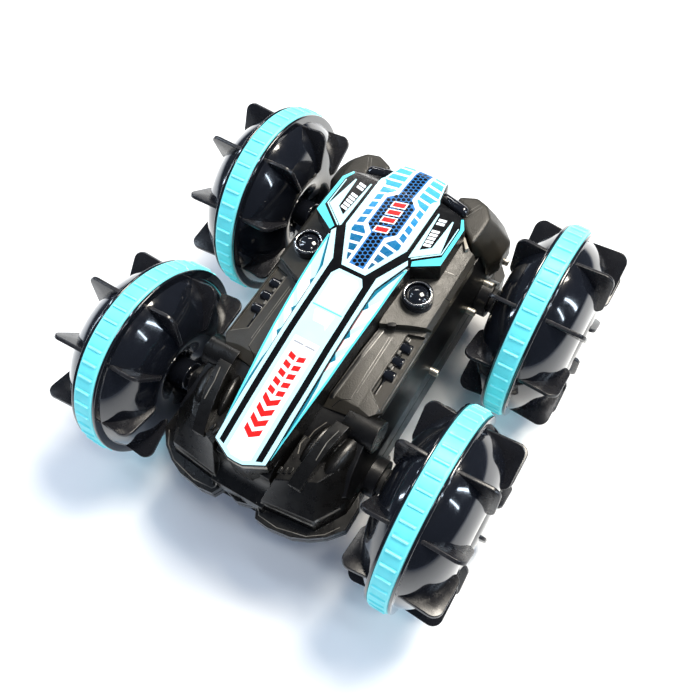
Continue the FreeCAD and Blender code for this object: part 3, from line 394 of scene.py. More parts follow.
def slab(outline, low, high, ease=0.0, steps=3):
    """An outline in XY between two heights, with its edges eased."""
    mesh = bmesh.new()
    ring = [mesh.verts.new((x, y, low)) for x, y in outline]
    bottom = mesh.faces.new(ring)
    grown = bmesh.ops.extrude_face_region(mesh, geom=[bottom])
    for item in grown["geom"]:
        if isinstance(item, bmesh.types.BMVert):
            item.co.z = high
    if ease:
        sharp = [edge for edge in mesh.edges if edge.calc_face_angle(0.0) > math.radians(25)]
        bmesh.ops.bevel(mesh, geom=sharp, offset=ease, segments=steps, profile=0.5, affect="EDGES",
                        clamp_overlap=True)
    bmesh.ops.recalc_face_normals(mesh, faces=mesh.faces)
    mesh.verts.index_update()
    result = [tuple(v.co) for v in mesh.verts], [tuple(v.index for v in f.verts) for f in mesh.faces]
    mesh.free()
    return result


def place_piece(name, mesh, material, body, slot, stands_for=(), sharp=35.0, weighted=False, highlight_trim=None):
    """Link a finished mesh, with its normals, finish and body."""
    tidy = bmesh.new()
    tidy.from_mesh(mesh)
    bmesh.ops.remove_doubles(tidy, verts=tidy.verts, dist=1e-7)
    bmesh.ops.dissolve_degenerate(tidy, edges=tidy.edges, dist=1e-7)
    bmesh.ops.recalc_face_normals(tidy, faces=tidy.faces)
    tidy.to_mesh(mesh)
    tidy.free()
    mesh.polygons.foreach_set("use_smooth", [True] * len(mesh.polygons))
    mesh.set_sharp_from_angle(angle=math.radians(sharp))
    mesh.materials.clear()
    mesh.materials.append(material)
    # A second finish, the painted edge highlight, for the faces that ask for it.
    if highlight_trim:
        mesh.materials.append(highlight_trim)
    obj = bpy.data.objects.new(name, mesh)
    scene.collection.objects.link(obj)
    if weighted:
        modifier = obj.modifiers.new("weighted", "WEIGHTED_NORMAL")
        modifier.keep_sharp = True
    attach(obj, body)
    if stands_for:
        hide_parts(*stands_for)
    return obj


def piece(name, part, material, body="chassis", slot="body_satin", stands_for=(), **rest):
    """A new piece from vertices in millimetres."""
    verts, faces = part
    mesh = bpy.data.meshes.new(name)
    mesh.from_pydata([(x * MM, y * MM, z * MM) for x, y, z in verts], [], faces)
    return place_piece(name, mesh, material, body, slot, stands_for, **rest)


CELL_SIZE = 0.55


def remade(mesh):
    """The mesh voxel by voxel, smoothed, and kept within the box that it filled."""
    low = [min(vert.co[k] for vert in mesh.vertices) for k in range(3)]
    high = [max(vert.co[k] for vert in mesh.vertices) for k in range(3)]
    holder = bpy.data.objects.new("holder", mesh)
    scene.collection.objects.link(holder)
    cells = holder.modifiers.new("cells", "REMESH")
    cells.mode = "VOXEL"
    cells.voxel_size = CELL_SIZE * MM
    calm = holder.modifiers.new("calm", "SMOOTH")
    calm.factor = 0.5
    calm.iterations = 14
    result = bpy.data.meshes.new_from_object(holder.evaluated_get(bpy.context.evaluated_depsgraph_get()))
    result.name = mesh.name
    bpy.data.objects.remove(holder)
    for vert in result.vertices:
        vert.co = [min(max(vert.co[k], low[k]), high[k]) for k in range(3)]
    return result


def recast(node, name, material, slot, ease=0.3, body="chassis", steps=2, sharp=50.0, highlight_trim=None, soft=False):
    """A node's shape with its flat faces made whole and its sharp edges rounded, the rounded edges in the
    highlight trim's finish as a painted highlight.

    A soft one is moulded round: its surface is remade in small cells and smoothed.
    """
    mesh = nodes[node].data.copy()
    mesh.name = name
    shape = bmesh.new()
    shape.from_mesh(mesh)
    bmesh.ops.remove_doubles(shape, verts=shape.verts, dist=2e-6)
    if soft:
        shape.to_mesh(mesh)
        shape.free()
        return place_piece(name, remade(mesh), material, body, slot, (node,), sharp=sharp)
    bmesh.ops.dissolve_limit(shape, angle_limit=math.radians(0.6), verts=shape.verts, edges=shape.edges)
    corners = [edge for edge in shape.edges
               if len(edge.link_faces) == 2 and edge.calc_face_angle(0.0) > math.radians(24)]
    eased = bmesh.ops.bevel(shape, geom=corners, offset=ease * MM, offset_type="OFFSET", segments=steps,
                            profile=0.5, affect="EDGES", clamp_overlap=False, loop_slide=True)
    for face in shape.faces:
        face.material_index = 0
    # The rounded edge faces take the trim: a painted highlight along the edges.
    if highlight_trim:
        for face in eased["faces"]:
            face.material_index = 1
    shape.to_mesh(mesh)
    shape.free()
    return place_piece(name, mesh, material, body, slot, (node,), sharp=sharp, weighted=True, highlight_trim=highlight_trim)


def carry(material, *names):
    """Give CAD nodes that stay as they are their finish."""
    for name in names:
        mesh = nodes[name].data
        if not mesh.materials:
            mesh.materials.append(material)
        for slot in nodes[name].material_slots:
            slot.material = material


# ---------------------------------------------------------------- wheels

TRACK_HALF, BASE_HALF = 64.5, 45.6
BLADES = 9
RIBS = 45
CROWN_OUT, CROWN_IN = 19.5, 16.4      # how far the domes stand out from the band's middle
REACH_OUT, REACH_IN = 22.0, 17.9      # the same for the paddles
HUB_OUT, HUB_IN = 14.0, 18.3          # the same for the hubs' faces
BAND_HALF = 4.15
SEAT = 39.0
BODY_OF = {"front_left": (-1, -1, 8.0), "front_right": (1, -1, 8.0),
           "rear_left": (-1, 1, -11.0), "rear_right": (1, 1, 12.0)}


def rim_profile(crown, hub_face):
    """The closed section of half a rim: flange, dome, dimple, hub and the hollow behind them."""
    edge = BAND_HALF + 1.3
    wall = 1.5
    hub = 6.0
    outside = [(0, SEAT), (BAND_HALF, SEAT)]
    flange = rounded([(BAND_HALF, SEAT), (BAND_HALF, SEAT + 2.1), (edge, SEAT + 2.1), (edge, SEAT - 1.0)],
                     0.5, 5,
                     (1, 2))
    outside += flange[1:]
    outside += arc((edge, SEAT - 1.0), (crown - 3.2, SEAT - 8.5), (crown, 21.0), 22)
    outside += arc((crown, 21.0), (crown - 2.2, 12.5), (crown - 8.0, hub + 2.0), 14)
    outside += rounded([(crown - 8.0, hub + 2.0), (crown - 8.0, hub), (hub_face, hub), (hub_face, 2.0)], 0.6,
                       4,
                       (1, 2))[1:]
    inside = [(0, 2.0), (0, hub), (crown - 8.0 - wall, hub), (crown - 8.0 - wall, hub + 3.0)]
    inside += arc((crown - 8.0 - wall, hub + 3.0), (crown - 3.7, 13.6), (crown - wall, 21.0), 8)
    inside += arc((crown - wall, 21.0), (crown - 3.2 - wall, SEAT - 9.6), (BAND_HALF + wall, SEAT - wall), 10)
    return outside + inside + [(0, SEAT - wall)]


def paddle_outline(reach, crown):
    """A blade's outline, as (distance from the band's middle, radius) points."""
    edge = BAND_HALF + 1.3
    top = 38.6
    points = [(edge - 0.6, top - 6.0), (edge - 0.6, top - 0.8), (reach - 4.0, top)]
    points += arc((reach - 4.0, top), (reach - 1.2, top - 1.2), (reach, top - 4.0), 7)
    points += [(reach, 23.0)] + arc((reach, 23.0), (reach - 0.8, 20.8), (crown - 0.8, 19.5), 5)
    return points + [(crown - 5.5, 27.0)]


def paddles(reach, crown, phase):
    """Flat blades that stand out of the dome. The phase is the first blade's angle from the top."""
    blade = slab(paddle_outline(reach, crown), -0.8, 0.8, 0.34, 3)
    upright_blade = Matrix(((1, 0, 0, 0), (0, 0, 1, 0), (0, 1, 0, 0), (0, 0, 0, 1)))
    return joined(*[moved(blade,
                          Matrix.Rotation(-math.radians(phase + 360 / BLADES * i), 4, "X") @ upright_blade)
                    for i in range(BLADES)])


def band_part():
    """The soft band with fine ribs, a groove beside each and a plain rolled edge."""
    radius = 42.0
    stations = [-1.25, -0.95, -0.72, -0.55, -0.3, 0.0, 0.3, 0.55, 0.72, 0.95, 1.25, 2.4, 4.1, 5.8]
    section = [(-BAND_HALF, SEAT), (-BAND_HALF, 40.5), (-4.05, 40.95), (-3.85, 41.25), (-3.5, 41.42),
               (-3.2, 41.47),
               (-3.0, 41.5), (-2.8, 41.5), (-1.0, 41.5)]
    section += [(-a, r) for a, r in reversed(section)]
    verts, faces = [], []
    for step in range(RIBS):
        for offset in stations:
            angle = math.radians(step * 360 / RIBS + offset)
            rise = max(0.0, min(1.0, (0.80 - abs(offset)) / 0.42))
            rise = rise * rise * (3 - 2 * rise)
            dip = math.exp(-((abs(offset) - 1.0) / 0.22) ** 2)
            for a, r in section:
                full = max(0.0, min(1.0, (3.15 - abs(a)) / 0.25))
                raised = r + full * ((radius - 41.5) * rise - 0.22 * dip)
                verts.append((a, raised * math.sin(angle), raised * math.cos(angle)))
    size, count = len(section), RIBS * len(stations)
    for step in range(count):
        here, there = step * size, (step + 1) % count * size
        faces += [(here + i, here + (i + 1) % size, there + (i + 1) % size, there + i) for i in range(size)]
    return verts, faces


def screw_part():
    """A pan-head screw with its washer face, on the wheel's axis, above its shank."""
    head = [(-7.5, 0.01), (-7.5, 1.2), (0, 1.2), (0, 4.1)] + rounded(
        [(0.5, 4.1), (0.5, 2.9), (1.5, 2.6), (2.1, 1.5), (2.2, 0.01)], 0.3, 3, (1, 2))
    return lathe([(HUB_OUT + a, r) for a, r in head], 40)


def cross_part():
    """Two crossed dark bars on the screw head: painted shade standing for its cross recess."""
    bars = slab(rectangle(1.5, 0.3), 16.1, 16.26), slab(rectangle(0.3, 1.5), 16.1, 16.26)
    on_side = Matrix(((0, 0, 1, 0), (0, 1, 0, 0), (1, 0, 0, 0), (0, 0, 0, 1)))
    return moved(joined(*bars), on_side)


def hub_trim(face, out):
    """A raised ring round the hub."""
    ring_profile = rounded([(face - 0.4, 7.2), (face + out, 7.2), (face + out, 8.4), (face - 0.4, 8.8)], 0.3,
                           3)
    return lathe(ring_profile, 64)


band_mesh = band_part()
for wheel, (side, end, phase) in BODY_OF.items():
    centre = Vector((side * TRACK_HALF, end * BASE_HALF, SEAM))
    for half, reach, crown, hub_face, away in (("outer", REACH_OUT, CROWN_OUT, HUB_OUT, side),
                                                 ("inner", REACH_IN, CROWN_IN, HUB_IN, -side)):
        seat_matrix = Matrix.Translation(centre) @ Matrix.Diagonal((away, 1, 1, 1))
        dome = moved(lathe(rim_profile(crown, hub_face), 112), seat_matrix)
        piece(f"{half}_rim_dome_{wheel}", dome, BLACK_GLOSS, f"wheel_{wheel}", "rim_gloss",
              (f"{half}_rim_{wheel}",), sharp=40)
        piece(f"{half}_rim_paddles_{wheel}", moved(paddles(reach, crown, phase), seat_matrix), PADDLE,
              f"wheel_{wheel}", "rim_gloss")
    turn = Matrix.Translation(centre) @ Matrix.Rotation(math.radians(phase * 0.3), 4, "X")
    piece(f"band_{wheel}", moved(band_mesh, turn), BAND, f"wheel_{wheel}", "tyre_band", (f"tyre_{wheel}",),
          sharp=30)
    outward = Matrix.Translation(centre) @ Matrix.Diagonal((side, 1, 1, 1))
    piece(f"hub_trim_{wheel}", moved(hub_trim(11.5, 0.9), outward), PADDLE, f"wheel_{wheel}", "rim_gloss")
    piece(f"screw_{wheel}", moved(screw_part(), outward), STEEL, f"wheel_{wheel}", "steel",
          (f"wheel_screw_{wheel}",))
    # The dark cross is painted shade for the recess in the screw head.
    piece(f"screw_cross_shade_{wheel}", moved(cross_part(), outward), SEAL, f"wheel_{wheel}", "steel")
    carry(STEEL, f"axle_{wheel}")
    carry(NYLON, f"axle_gear_{wheel}")

# ---------------------------------------------------------------- inner parts, which keep their CAD shape

for hand in ("right", "left"):
    carry(NYLON, f"reduction_gear_{hand}", f"idler_gear_front_{hand}", f"idler_gear_rear_{hand}")
    carry(BRASS, f"motor_pinion_{hand}")
    carry(CAN, f"motor_{hand}")
    carry(COVER, f"gearbox_cover_{hand}")
carry(BRASS, "axle_bushes")
carry(SEAL, "axle_seals", "button_seal", "shell_seal", "battery_door_seal")
carry(BOARD, "circuit_board")
carry(WRAP, "battery")
carry(STEEL, "battery_door_screws", "case_screws")

# ---------------------------------------------------------------- body shells and trim

recast("upper_shell", "tub_upper", SHELL, "body_satin", 0.35)
recast("lower_shell", "tub_lower", SHELL, "body_satin", 0.35)
recast("battery_door", "door", SHELL, "body_satin", 0.25)
recast("top_cover", "cover", BODY, "body_satin", 0.3)
# The bumper, arches and rails have their rounded edges painted as highlights.
recast("front_bumper", "bumper", BODY, "body_satin", 0.3, steps=3, highlight_trim=EDGE_HIGHLIGHT)
recast("front_arches", "arches", BODY, "body_satin", 0.25, highlight_trim=EDGE_HIGHLIGHT)
for hand in ("right", "left"):
    recast(f"side_rail_{hand}", f"rail_{hand}", PANEL, "body_satin", 0.2, highlight_trim=EDGE_HIGHLIGHT)
    recast(f"rear_fender_{hand}", f"fender_{hand}", PANEL, "body_satin", sharp=70.0, soft=True)

# ---------------------------------------------------------------- lamps

LAMP_X, LAMP_Y, LAMP_TOP = 24.2, 14.9, SEAM + 34.1
REAR_LAMP = (16.2, 59.2, SEAM + 31.0)


def upright_lathe(profile, x, y, count=64):
    """Turn a closed profile of (height, radius) points about a vertical line."""
    stand = Matrix.Translation((x, y, 0)) @ Matrix(((0, 0, 1, 0), (0, 1, 0, 0), (1, 0, 0, 0), (0, 0, 0, 1)))
    return moved(lathe(profile, count), stand)


for hand, side in SIDES:
    x = side * LAMP_X
    cup = rounded([(LAMP_TOP - 6.5, 4.85), (LAMP_TOP - 1.0, 4.85), (LAMP_TOP - 0.35, 5.05),
                   (LAMP_TOP - 0.35, 5.95),
                   (LAMP_TOP - 1.4, 5.98), (LAMP_TOP - 1.4, 5.75), (LAMP_TOP - 1.9,
                                                                    5.75), (LAMP_TOP - 1.9, 6.0),
                   (LAMP_TOP - 6.5, 6.0)], 0.25, 3)
    piece(f"lamp_cup_{hand}", upright_lathe(cup, x, LAMP_Y), BLACK_GLOSS, slot="lamp_gloss",
          stands_for=("lamp_rings",) if side > 0 else ())
    bezel = rounded([(LAMP_TOP - 0.9, 4.75), (LAMP_TOP - 0.05, 4.75), (LAMP_TOP - 0.05, 5.5),
                     (LAMP_TOP - 0.9, 5.5)],
                    0.32, 4)
    piece(f"lamp_bezel_{hand}", upright_lathe(bezel, x, LAMP_Y), CHROME, slot="lamp_metal")
    dome = [(LAMP_TOP - 6.0, 0.01), (LAMP_TOP - 6.0, 4.7), (LAMP_TOP - 1.6, 4.7)]
    dome += arc((LAMP_TOP - 1.6, 4.7), (LAMP_TOP - 0.2, 2.8), (LAMP_TOP + 0.38, 0.01), 14)
    piece(f"lamp_dome_{hand}", upright_lathe(dome, x, LAMP_Y), BLACK_GLOSS, slot="lamp_gloss",
          stands_for=("lamp_lenses",) if side > 0 else ())

    lean = -side * math.radians(16)
    radius, half = 2.6, 4.6
    capsule = [(-half - radius, 0.01)] + arc((-half - radius, 0.01), (-half - 0.707 * radius, 0.707 * radius),
                                             (-half, radius), 10)
    capsule += [(-0.35, radius), (-0.2, radius - 0.2), (0.2, radius - 0.2), (0.35, radius), (half, radius)]
    capsule += arc((half, radius), (half + 0.707 * radius, 0.707 * radius), (half + radius, 0.01), 10)
    pose = Matrix.Translation((side * REAR_LAMP[0], *REAR_LAMP[1:])) @ Matrix.Rotation(lean, 4, "Z")
    pose = pose @ Matrix.Rotation(-side * math.radians(5.0), 4, "Y")
    piece(f"rear_lamp_{hand}", moved(lathe(capsule, 48), pose), BLACK_GLOSS, slot="lamp_gloss",
          stands_for=("rear_lamps",) if side > 0 else ())

# ---------------------------------------------------------------- printed top

TOP_LINE = [(-72.5, 27.9), (-50, 32.3), (-22, 36.8), (-5, 38.4), (9, 39.4), (27, 39.4), (50, 38.2),
            (62, 35.8),
            (66.2, 33.5)]


def top_height(y):
    """The cover's height over the middle of the car."""
    for (a, low), (b, high) in zip(TOP_LINE, TOP_LINE[1:]):
        if y <= b:
            return SEAM + low + (high - low) * (y - a) / (b - a)
    return SEAM + TOP_LINE[-1][1]


def film(name, outlines, material, layer, drop=0.0, slot="decal", stands_for=(), body="chassis"):
    """Flat printed shapes laid on the cover: each outline follows its top line, layer hundredths up."""
    shape = bmesh.new()
    for outline in outlines:
        shape.faces.new([shape.verts.new((x, y, 0)) for x, y in outline])
    for y, _ in TOP_LINE[1:-1]:
        geometry = list(shape.verts) + list(shape.edges) + list(shape.faces)
        bmesh.ops.bisect_plane(shape, geom=geometry, plane_co=(0, y, 0), plane_no=(0, 1, 0), dist=1e-6)
    bmesh.ops.recalc_face_normals(shape, faces=shape.faces)
    grown = bmesh.ops.extrude_face_region(shape, geom=list(shape.faces))
    raised = {item for item in grown["geom"] if isinstance(item, bmesh.types.BMVert)}
    for vert in shape.verts:
        vert.co.z = top_height(vert.co.y) - drop + (0.01 * layer if vert in raised else -0.04)
    shape.verts.index_update()
    part = [tuple(v.co) for v in shape.verts], [tuple(v.index for v in f.verts) for f in shape.faces]
    shape.free()
    return piece(name, part, material, body, slot, stands_for)


def mirrored(outline):
    """The outline's image on the car's other side, turned the same way round."""
    return [(-x, y) for x, y in reversed(outline)]


def both(*outlines):
    """Each right-hand outline and its mirror image."""
    return [shape for outline in outlines for shape in (outline, mirrored(outline))]


def closed(half):
    """A right-hand half outline closed with its mirror image."""
    return half + [(-x, y) for x, y in reversed(half) if abs(x) > 1e-6]


recast("decals", "print_base", BLACK, "decal", 0.12)

# A pale strip along the cover's front edge at the nose, under the print: a painted highlight on that edge.
piece("nose_rim_highlight",
      slab(closed([(0, -72.62), (3.3, -72.4), (10.9, -68.6), (10.6, -68.2), (3.1, -71.9), (0, -72.1)]),
                       SEAM + 25.4, SEAM + 27.3), TAB)

# The raised ridge: white middle, pale lines, black stripes and a pale outer band that flares at the hood.
film("ridge_pale", [closed([(0, -72.2), (3.1, -72.0), (10.6, -68.4), (10.85, -61), (10.9, -9), (0, -9)])],
     PALE, 3)
film("ridge_white", [closed([(0, -70.9), (2.4, -70.8), (5.1, -69.3), (5.2, -27), (5.2, -23.1), (0, -23.1)])],
     WHITE, 5)
film("ridge_stripes", both([(6.75, -68.9), (9.05, -68.1), (9.4, -40), (9.4, -9), (6.9, -9), (6.9, -40)]),
     BLACK, 5)
film("ridge_band", both([(9.4, -9), (9.45, 10), (15.7, 22.5), (16.72, 20.6), (11.15, 5.6), (10.9, -9)]), PALE,
     3)
film("window_pale", [closed([(0, -22.9), (5.75, -23.1), (6.8, -9), (6.75, 4.4), (4.9, 7.3), (0, 7.3)])], PALE,
     5)
film("window_rear", [closed([(0, -8.7), (5.1, -8.7), (5.3, 3.8), (4.0, 5.8), (0, 5.8)])], WHITE, 7)
film("window_line", [closed([(0, -9.75), (6.2, -9.75), (6.2, -9.25), (0, -9.25)])], CYAN, 7)

# The mark on the ridge is a plain row of red bars and arrows.
marks = []
for i in range(4):
    y = -63.0 + 4.1 * i
    marks.append([(-3.3, y + 2.2), (0, y), (3.3, y + 2.2), (3.3, y + 4.6), (0, y + 2.4), (-3.3, y + 4.6)])
for i in range(5):
    y = -45.2 + 3.5 * i
    marks += [[(-3.3, y), (-0.5, y - 0.9), (-0.5, y + 1.2), (-3.3, y + 2.1)],
              [(0.5, y - 0.9), (3.3, y), (3.3, y + 2.1), (0.5, y + 1.2)]]
film("ridge_mark", marks, RED, 7)
film("ridge_dashes", [[(-4.4, -25.6), (-0.4, -25.6), (-0.4, -25.0), (-4.4, -25.0)],
                      [(0.4, -25.6), (4.4, -25.6), (4.4, -25.0), (0.4, -25.0)]], GREY, 7)

# The low side strips: pale ground, white slanted panels, teal corners and a bright outer edge.
STRIP_DROP = 1.1


def strip_inner(y):
    """Where the side strip meets the ridge, as a half width at y."""
    return 11.1 + (y + 61) * 0.2 / 66 if y < 5.5 else 11.3 + (y - 5.5) * 5.6 / 15.1


def strip_outer(y):
    """The side strip's outer edge, as a half width at y."""
    for (a, x), (b, wide) in zip(((-68.5, 10.8), (-32, 14.5), (-2, 16.6)),
                                 ((-32, 14.5), (-2, 16.6), (20, 17.5))):
        if y <= b:
            return x + (wide - x) * (y - a) / (b - a)
    return 17.5


film("strip_ground", both([(strip_inner(y) + 0.1, y) for y in (-60, 5.5, 19.5)]
                          + [(strip_outer(y) - 0.15, y) for y in (19.5, -2, -32, -60)]), PALE, 3, STRIP_DROP)
EDGE_LINE = 0.85
film("strip_edge", both([(strip_outer(y) - EDGE_LINE, y) for y in (-64, -32, -2, 19)]
                        + [(strip_outer(y) - 0.1, y) for y in (19, -2, -32, -66)]), CYAN, 7, STRIP_DROP)
slants, corners, blush = [], [], []
for outer_rear, outer_front, inner_rear, inner_front in (
        (4.2, -5.4, -2.7, -11.9), (-8.7, -16.0, -15.7, -21.6), (-20.7, -24.2, -25.8, -29.8)):
    slants.append([(strip_inner(inner_front) + 0.15, inner_front),
                   (strip_outer(outer_front) - EDGE_LINE, outer_front),
                   (strip_outer(outer_rear) - EDGE_LINE, outer_rear), (strip_inner(inner_rear) + 0.15,
                                                                       inner_rear)])
    corners.append([(strip_inner(inner_rear) + 0.1, inner_rear - 0.6),
                    (strip_inner(inner_rear) + 1.5, inner_rear + 1.3),
                    (strip_inner(inner_rear) + 0.1, inner_rear + 3.4)])
    blush.append([(strip_inner(inner_front) + 0.1, inner_front),
                  (strip_inner(inner_front) + 0.3, inner_front),
                  (strip_inner(inner_rear) + 0.3, inner_rear - 0.6), (strip_inner(inner_rear) + 0.1,
                                                                      inner_rear - 0.6)])
film("strip_slants", both(*slants), WHITE, 5, STRIP_DROP)
film("strip_corners", both(*corners), TEAL, 8, STRIP_DROP)
film("strip_blush", both(*blush), BLUSH, 7, STRIP_DROP)
# strip_shade is painted shade: a teal line along the step below the ridge.
film("strip_shade",
     both([(11.2, -60), (12.2, -44), (12.0, -36), (11.3, -31)], [(11.3, -1), (12.6, 5.5), (16.6, 17.8),
                                                                               (16.3, 18.4), (11.4, 5.7)]),
     TEAL, 7, STRIP_DROP)

# The hood: a ringed panel with a ladder of blue blocks each side of a honeycomb, and a pair of wings.
film("hood_ring",
     [closed([(0, 9.1), (5.1, 9.1), (13.3, 25.9), (13.2, 52.4), (12.2, 54.3), (9.7, 66.0), (0, 66.0)])],
     PALE, 4)
film("hood_ground",
     [closed([(0, 10.7), (4.0, 10.7), (10.6, 26.3), (10.5, 53.2), (12.0, 54.2), (9.55, 65.95), (0, 65.95)])],
     WHITE, 6)


def run(points, y):
    """The half width at y of an edge given as (y, half width) points."""
    for (a, low), (b, high) in zip(points, points[1:]):
        if y <= b:
            return low + (high - low) * (y - a) / (b - a)
    return points[-1][1]


COMB_EDGE = [(11.1, 3.1), (27.1, 3.0), (30.5, 6.35), (45.0, 6.35), (48.4, 3.0), (66, 3.05)]
LADDER_IN = [(11, 4.3), (25.5, 4.4), (29.3, 7.8), (46.2, 7.8), (49.5, 4.5), (66, 4.6)]
LADDER_OUT = [(11.5, 4.5), (26.3, 10.4), (53.2, 10.35), (54.0, 11.9), (65.2, 9.45)]
SLANT = 0.2
HOOD_REAR = 65.9
blocks = []
PITCH, SOLID = 4.35, 3.15
for i in range(13):
    start = 12.2 + PITCH * i
    length = min(SOLID, HOOD_REAR - start)
    steps = [start + length * k / 3 for k in range(4)]
    inner = [(run(LADDER_IN, y), y) for y in steps]
    outer = [(run(LADDER_OUT, y), y) for y in steps]
    if max(x for x, _ in outer) - min(x for x, _ in inner) < 0.5 or length < 0.6:
        continue
    outline = [(x, y) for x, y in inner] + [(max(x, run(LADDER_IN, y) + 0.05), y - SLANT * (x - 4.5))
                                            for x, y in reversed(outer)]
    blocks.append(outline)
film("hood_ladder", both(*blocks), LADDER, 8)
film("hood_comb", [closed([(0, 11.1)] + [(x, y) for y, x in COMB_EDGE[:-1]] + [(3.05, HOOD_REAR),
                                                                               (0, HOOD_REAR)])], COMB, 8)
cells = []
CELL, GAP = 0.91, 1.95
for row in range(60):
    y = 11.9 + row * GAP * 0.5
    for column in range(-8, 9):
        x = (column + (0.5 if row % 2 else 0.0)) * GAP * math.sqrt(3)
        if abs(x) + CELL * 0.75 > run(COMB_EDGE, y) or y + CELL > HOOD_REAR:
            continue
        cells.append([(x + CELL * math.cos(math.radians(60 * k)), y + CELL * math.sin(math.radians(60 * k)))
                      for k in range(6)])
film("hood_cells", cells, BLACK, 9)
bars_back, bars = [], []
for y in (28.2, 33.4, 37.6, 41.8):
    bars_back.append([(-2.9, y - 0.5), (2.9, y + 1.1), (2.9, y + 4.4), (-2.9, y + 2.8)])
    bars.append([(-2.35, y + 0.15), (2.35, y + 1.45), (2.35, y + 3.75), (-2.35, y + 2.45)])
film("hood_bar_borders", bars_back, WHITE, 11)
film("hood_bars", bars, RED, 13)

HOOD_DROP = 0.5
film("wing_arms", both([(14.95, 24.0), (24.6, 31.6), (22.0, 47.2), (21.4, 47.2), (20.6, 32.3), (16.9, 29.2),
                        (15.5, 47.9), (14.9, 48.1)]), PALE, 4, HOOD_DROP)
ticks = []
for i, y in enumerate((31.6, 33.4, 35.2, 37.0, 38.8, 43.0, 44.8)):
    ticks.append([(17.0 - 0.1 * i, y), (19.8 - 0.05 * i, y + 0.6), (19.8 - 0.05 * i, y + 1.9),
                  (17.0 - 0.1 * i, y + 1.3)])
film("wing_ticks", both(*ticks), WHITE, 4, HOOD_DROP)
film("wing_line", both([(16.2, 23.9), (25.3, 31.3), (25.3, 45.3), (24.9, 45.3), (24.9, 31.5), (16.0, 24.4)]),
     PALE, 4,
     HOOD_DROP)
film("hood_edge", both([(17.75, 21.1), (27.2, 26.7), (27.2, 45.9), (24.7, 50.3), (23.9, 49.8), (25.8, 45.4),
                        (25.8, 30.3), (17.1, 23.2)]), CYAN, 5, HOOD_DROP)

# ---------------------------------------------------------------- fine relief on the body


def ground_of(*names):
    """A function that gives the height of the uppermost of these nodes over a place in plan."""
    verts, faces = [], []
    for name in names:
        start = len(verts)
        verts += [nodes[name].matrix_world @ vert.co for vert in nodes[name].data.vertices]
        faces += [tuple(start + i for i in face.vertices) for face in nodes[name].data.polygons]
    tree = BVHTree.FromPolygons(verts, faces)

    def height(x, y, otherwise=None):
        hit = tree.ray_cast(Vector((x * MM, y * MM, 0.2)), Vector((0, 0, -1)))[0]
        return hit.z / MM if hit else otherwise
    return height


def ridge_part(path, width, rise, height):
    """A low bead that follows a path in plan and lies on the ground below it."""
    points = [Vector(path[0])]
    for a, b in zip(path, path[1:]):
        a, b = Vector(a), Vector(b)
        steps = max(1, math.ceil((b - a).length / 1.5))
        points += [a.lerp(b, i / steps) for i in range(1, steps + 1)]
    verts, faces = [], []
    level = next(found for found in (height(*point) for point in points) if found is not None)
    for i, point in enumerate(points):
        along = points[min(i + 1, len(points) - 1)] - points[max(i - 1, 0)]
        aside = Vector((-along.y, along.x)).normalized()
        level = height(point.x, point.y, level)
        for offset, lift in ((-0.5, -0.15), (-0.3, rise), (0.3, rise), (0.5, -0.15)):
            spot = point + aside * (offset * width)
            found = height(spot.x, spot.y, level)
            verts.append((spot.x, spot.y, min(max(found, level - 0.4), level + 0.4) + lift))
    for i in range(len(points) - 1):
        here, there = 4 * i, 4 * i + 4
        faces += [(here + k, here + (k + 1) % 4, there + (k + 1) % 4, there + k) for k in range(4)]
    return verts, faces + [(3, 2, 1, 0), tuple(range(len(verts) - 4, len(verts)))]


def ridges(name, paths, width, rise, material, height):
    """One piece of several beads on the same ground."""
    return piece(name, joined(*[ridge_part(path, width, rise, height) for path in paths]), material)


rail_ground = ground_of("side_rail_right", "side_rail_left")
# The rail beads, rail lines and pocket lines are painted in the highlight colour: painted highlights along
# edges.
ridges("rail_beads", both([(16.5, -34.0), (19.2, -2.0)]), 0.5, 0.30, EDGE_HIGHLIGHT, rail_ground)
# A dark flat strip along each rail's inner side: painted shade in the gutter.
ridges("rail_gutter_shade", both([(15.4, -34.5), (18.2, -3.0)]), 1.7, 0.04, SHELL, rail_ground)
ridges("rail_lines", both([(22.3, -31.5), (22.1, -3.0)], [(23.2, -28.5), (23.1, -2.4)]), 0.28, 0.12, EDGE_HIGHLIGHT,
       rail_ground)
ridges("pocket_lines",
       both([(26.8, 1.0), (26.9, -25.2), (29.0, -26.6), (33.6, -29.9)], [(34.0, -29.0), (34.0, 2.4)]),
       0.36, 0.16, EDGE_HIGHLIGHT, rail_ground)
# A black strip along each pocket's floor: painted shade in the pocket.
ridges("pocket_slot_shade", both([(28.4, -24.8), (28.4, 1.6)]), 1.5, 0.05, BLACK, rail_ground)
ridges("deck_seams", both([(26.3, 30.9), (31.8, 32.4), (34.2, 32.2)], [(34.2, 22.0), (31.6, 21.4)]), 0.34,
       0.03, BLACK,
       rail_ground)
ridges("rail_seams", both([(17.3, -36.8), (18.9, -33.7), (22.4, -31.6)]), 0.34, 0.03, BLACK, rail_ground)
for hand, side in SIDES:
    rolls = [moved(lathe(rounded([(27.2, 0.01), (27.2, 2.15), (31.7, 2.15), (31.7, 0.01)], 0.5, 4, (1, 2)),
                         32),
                   Matrix.Diagonal((side, 1, 1, 1)) @ Matrix.Translation((0, y, SEAM + 23.4)))
             for y in (-2.8, -9.2, -15.6)]
    piece(f"pocket_rolls_{hand}", joined(*rolls), BLACK_GLOSS, slot="lamp_gloss")
    posts = [slab(rectangle(0.55, 0.9, side * 27.9, y), SEAM + 22.6, SEAM + 25.0, 0.2)
             for y in (0.4, -6.0, -12.4)]
    # The posts are painted in the highlight colour: a painted highlight.
    piece(f"pocket_posts_{hand}", joined(*posts), EDGE_HIGHLIGHT)

fender_ground = ground_of("rear_fender_right", "rear_fender_left")
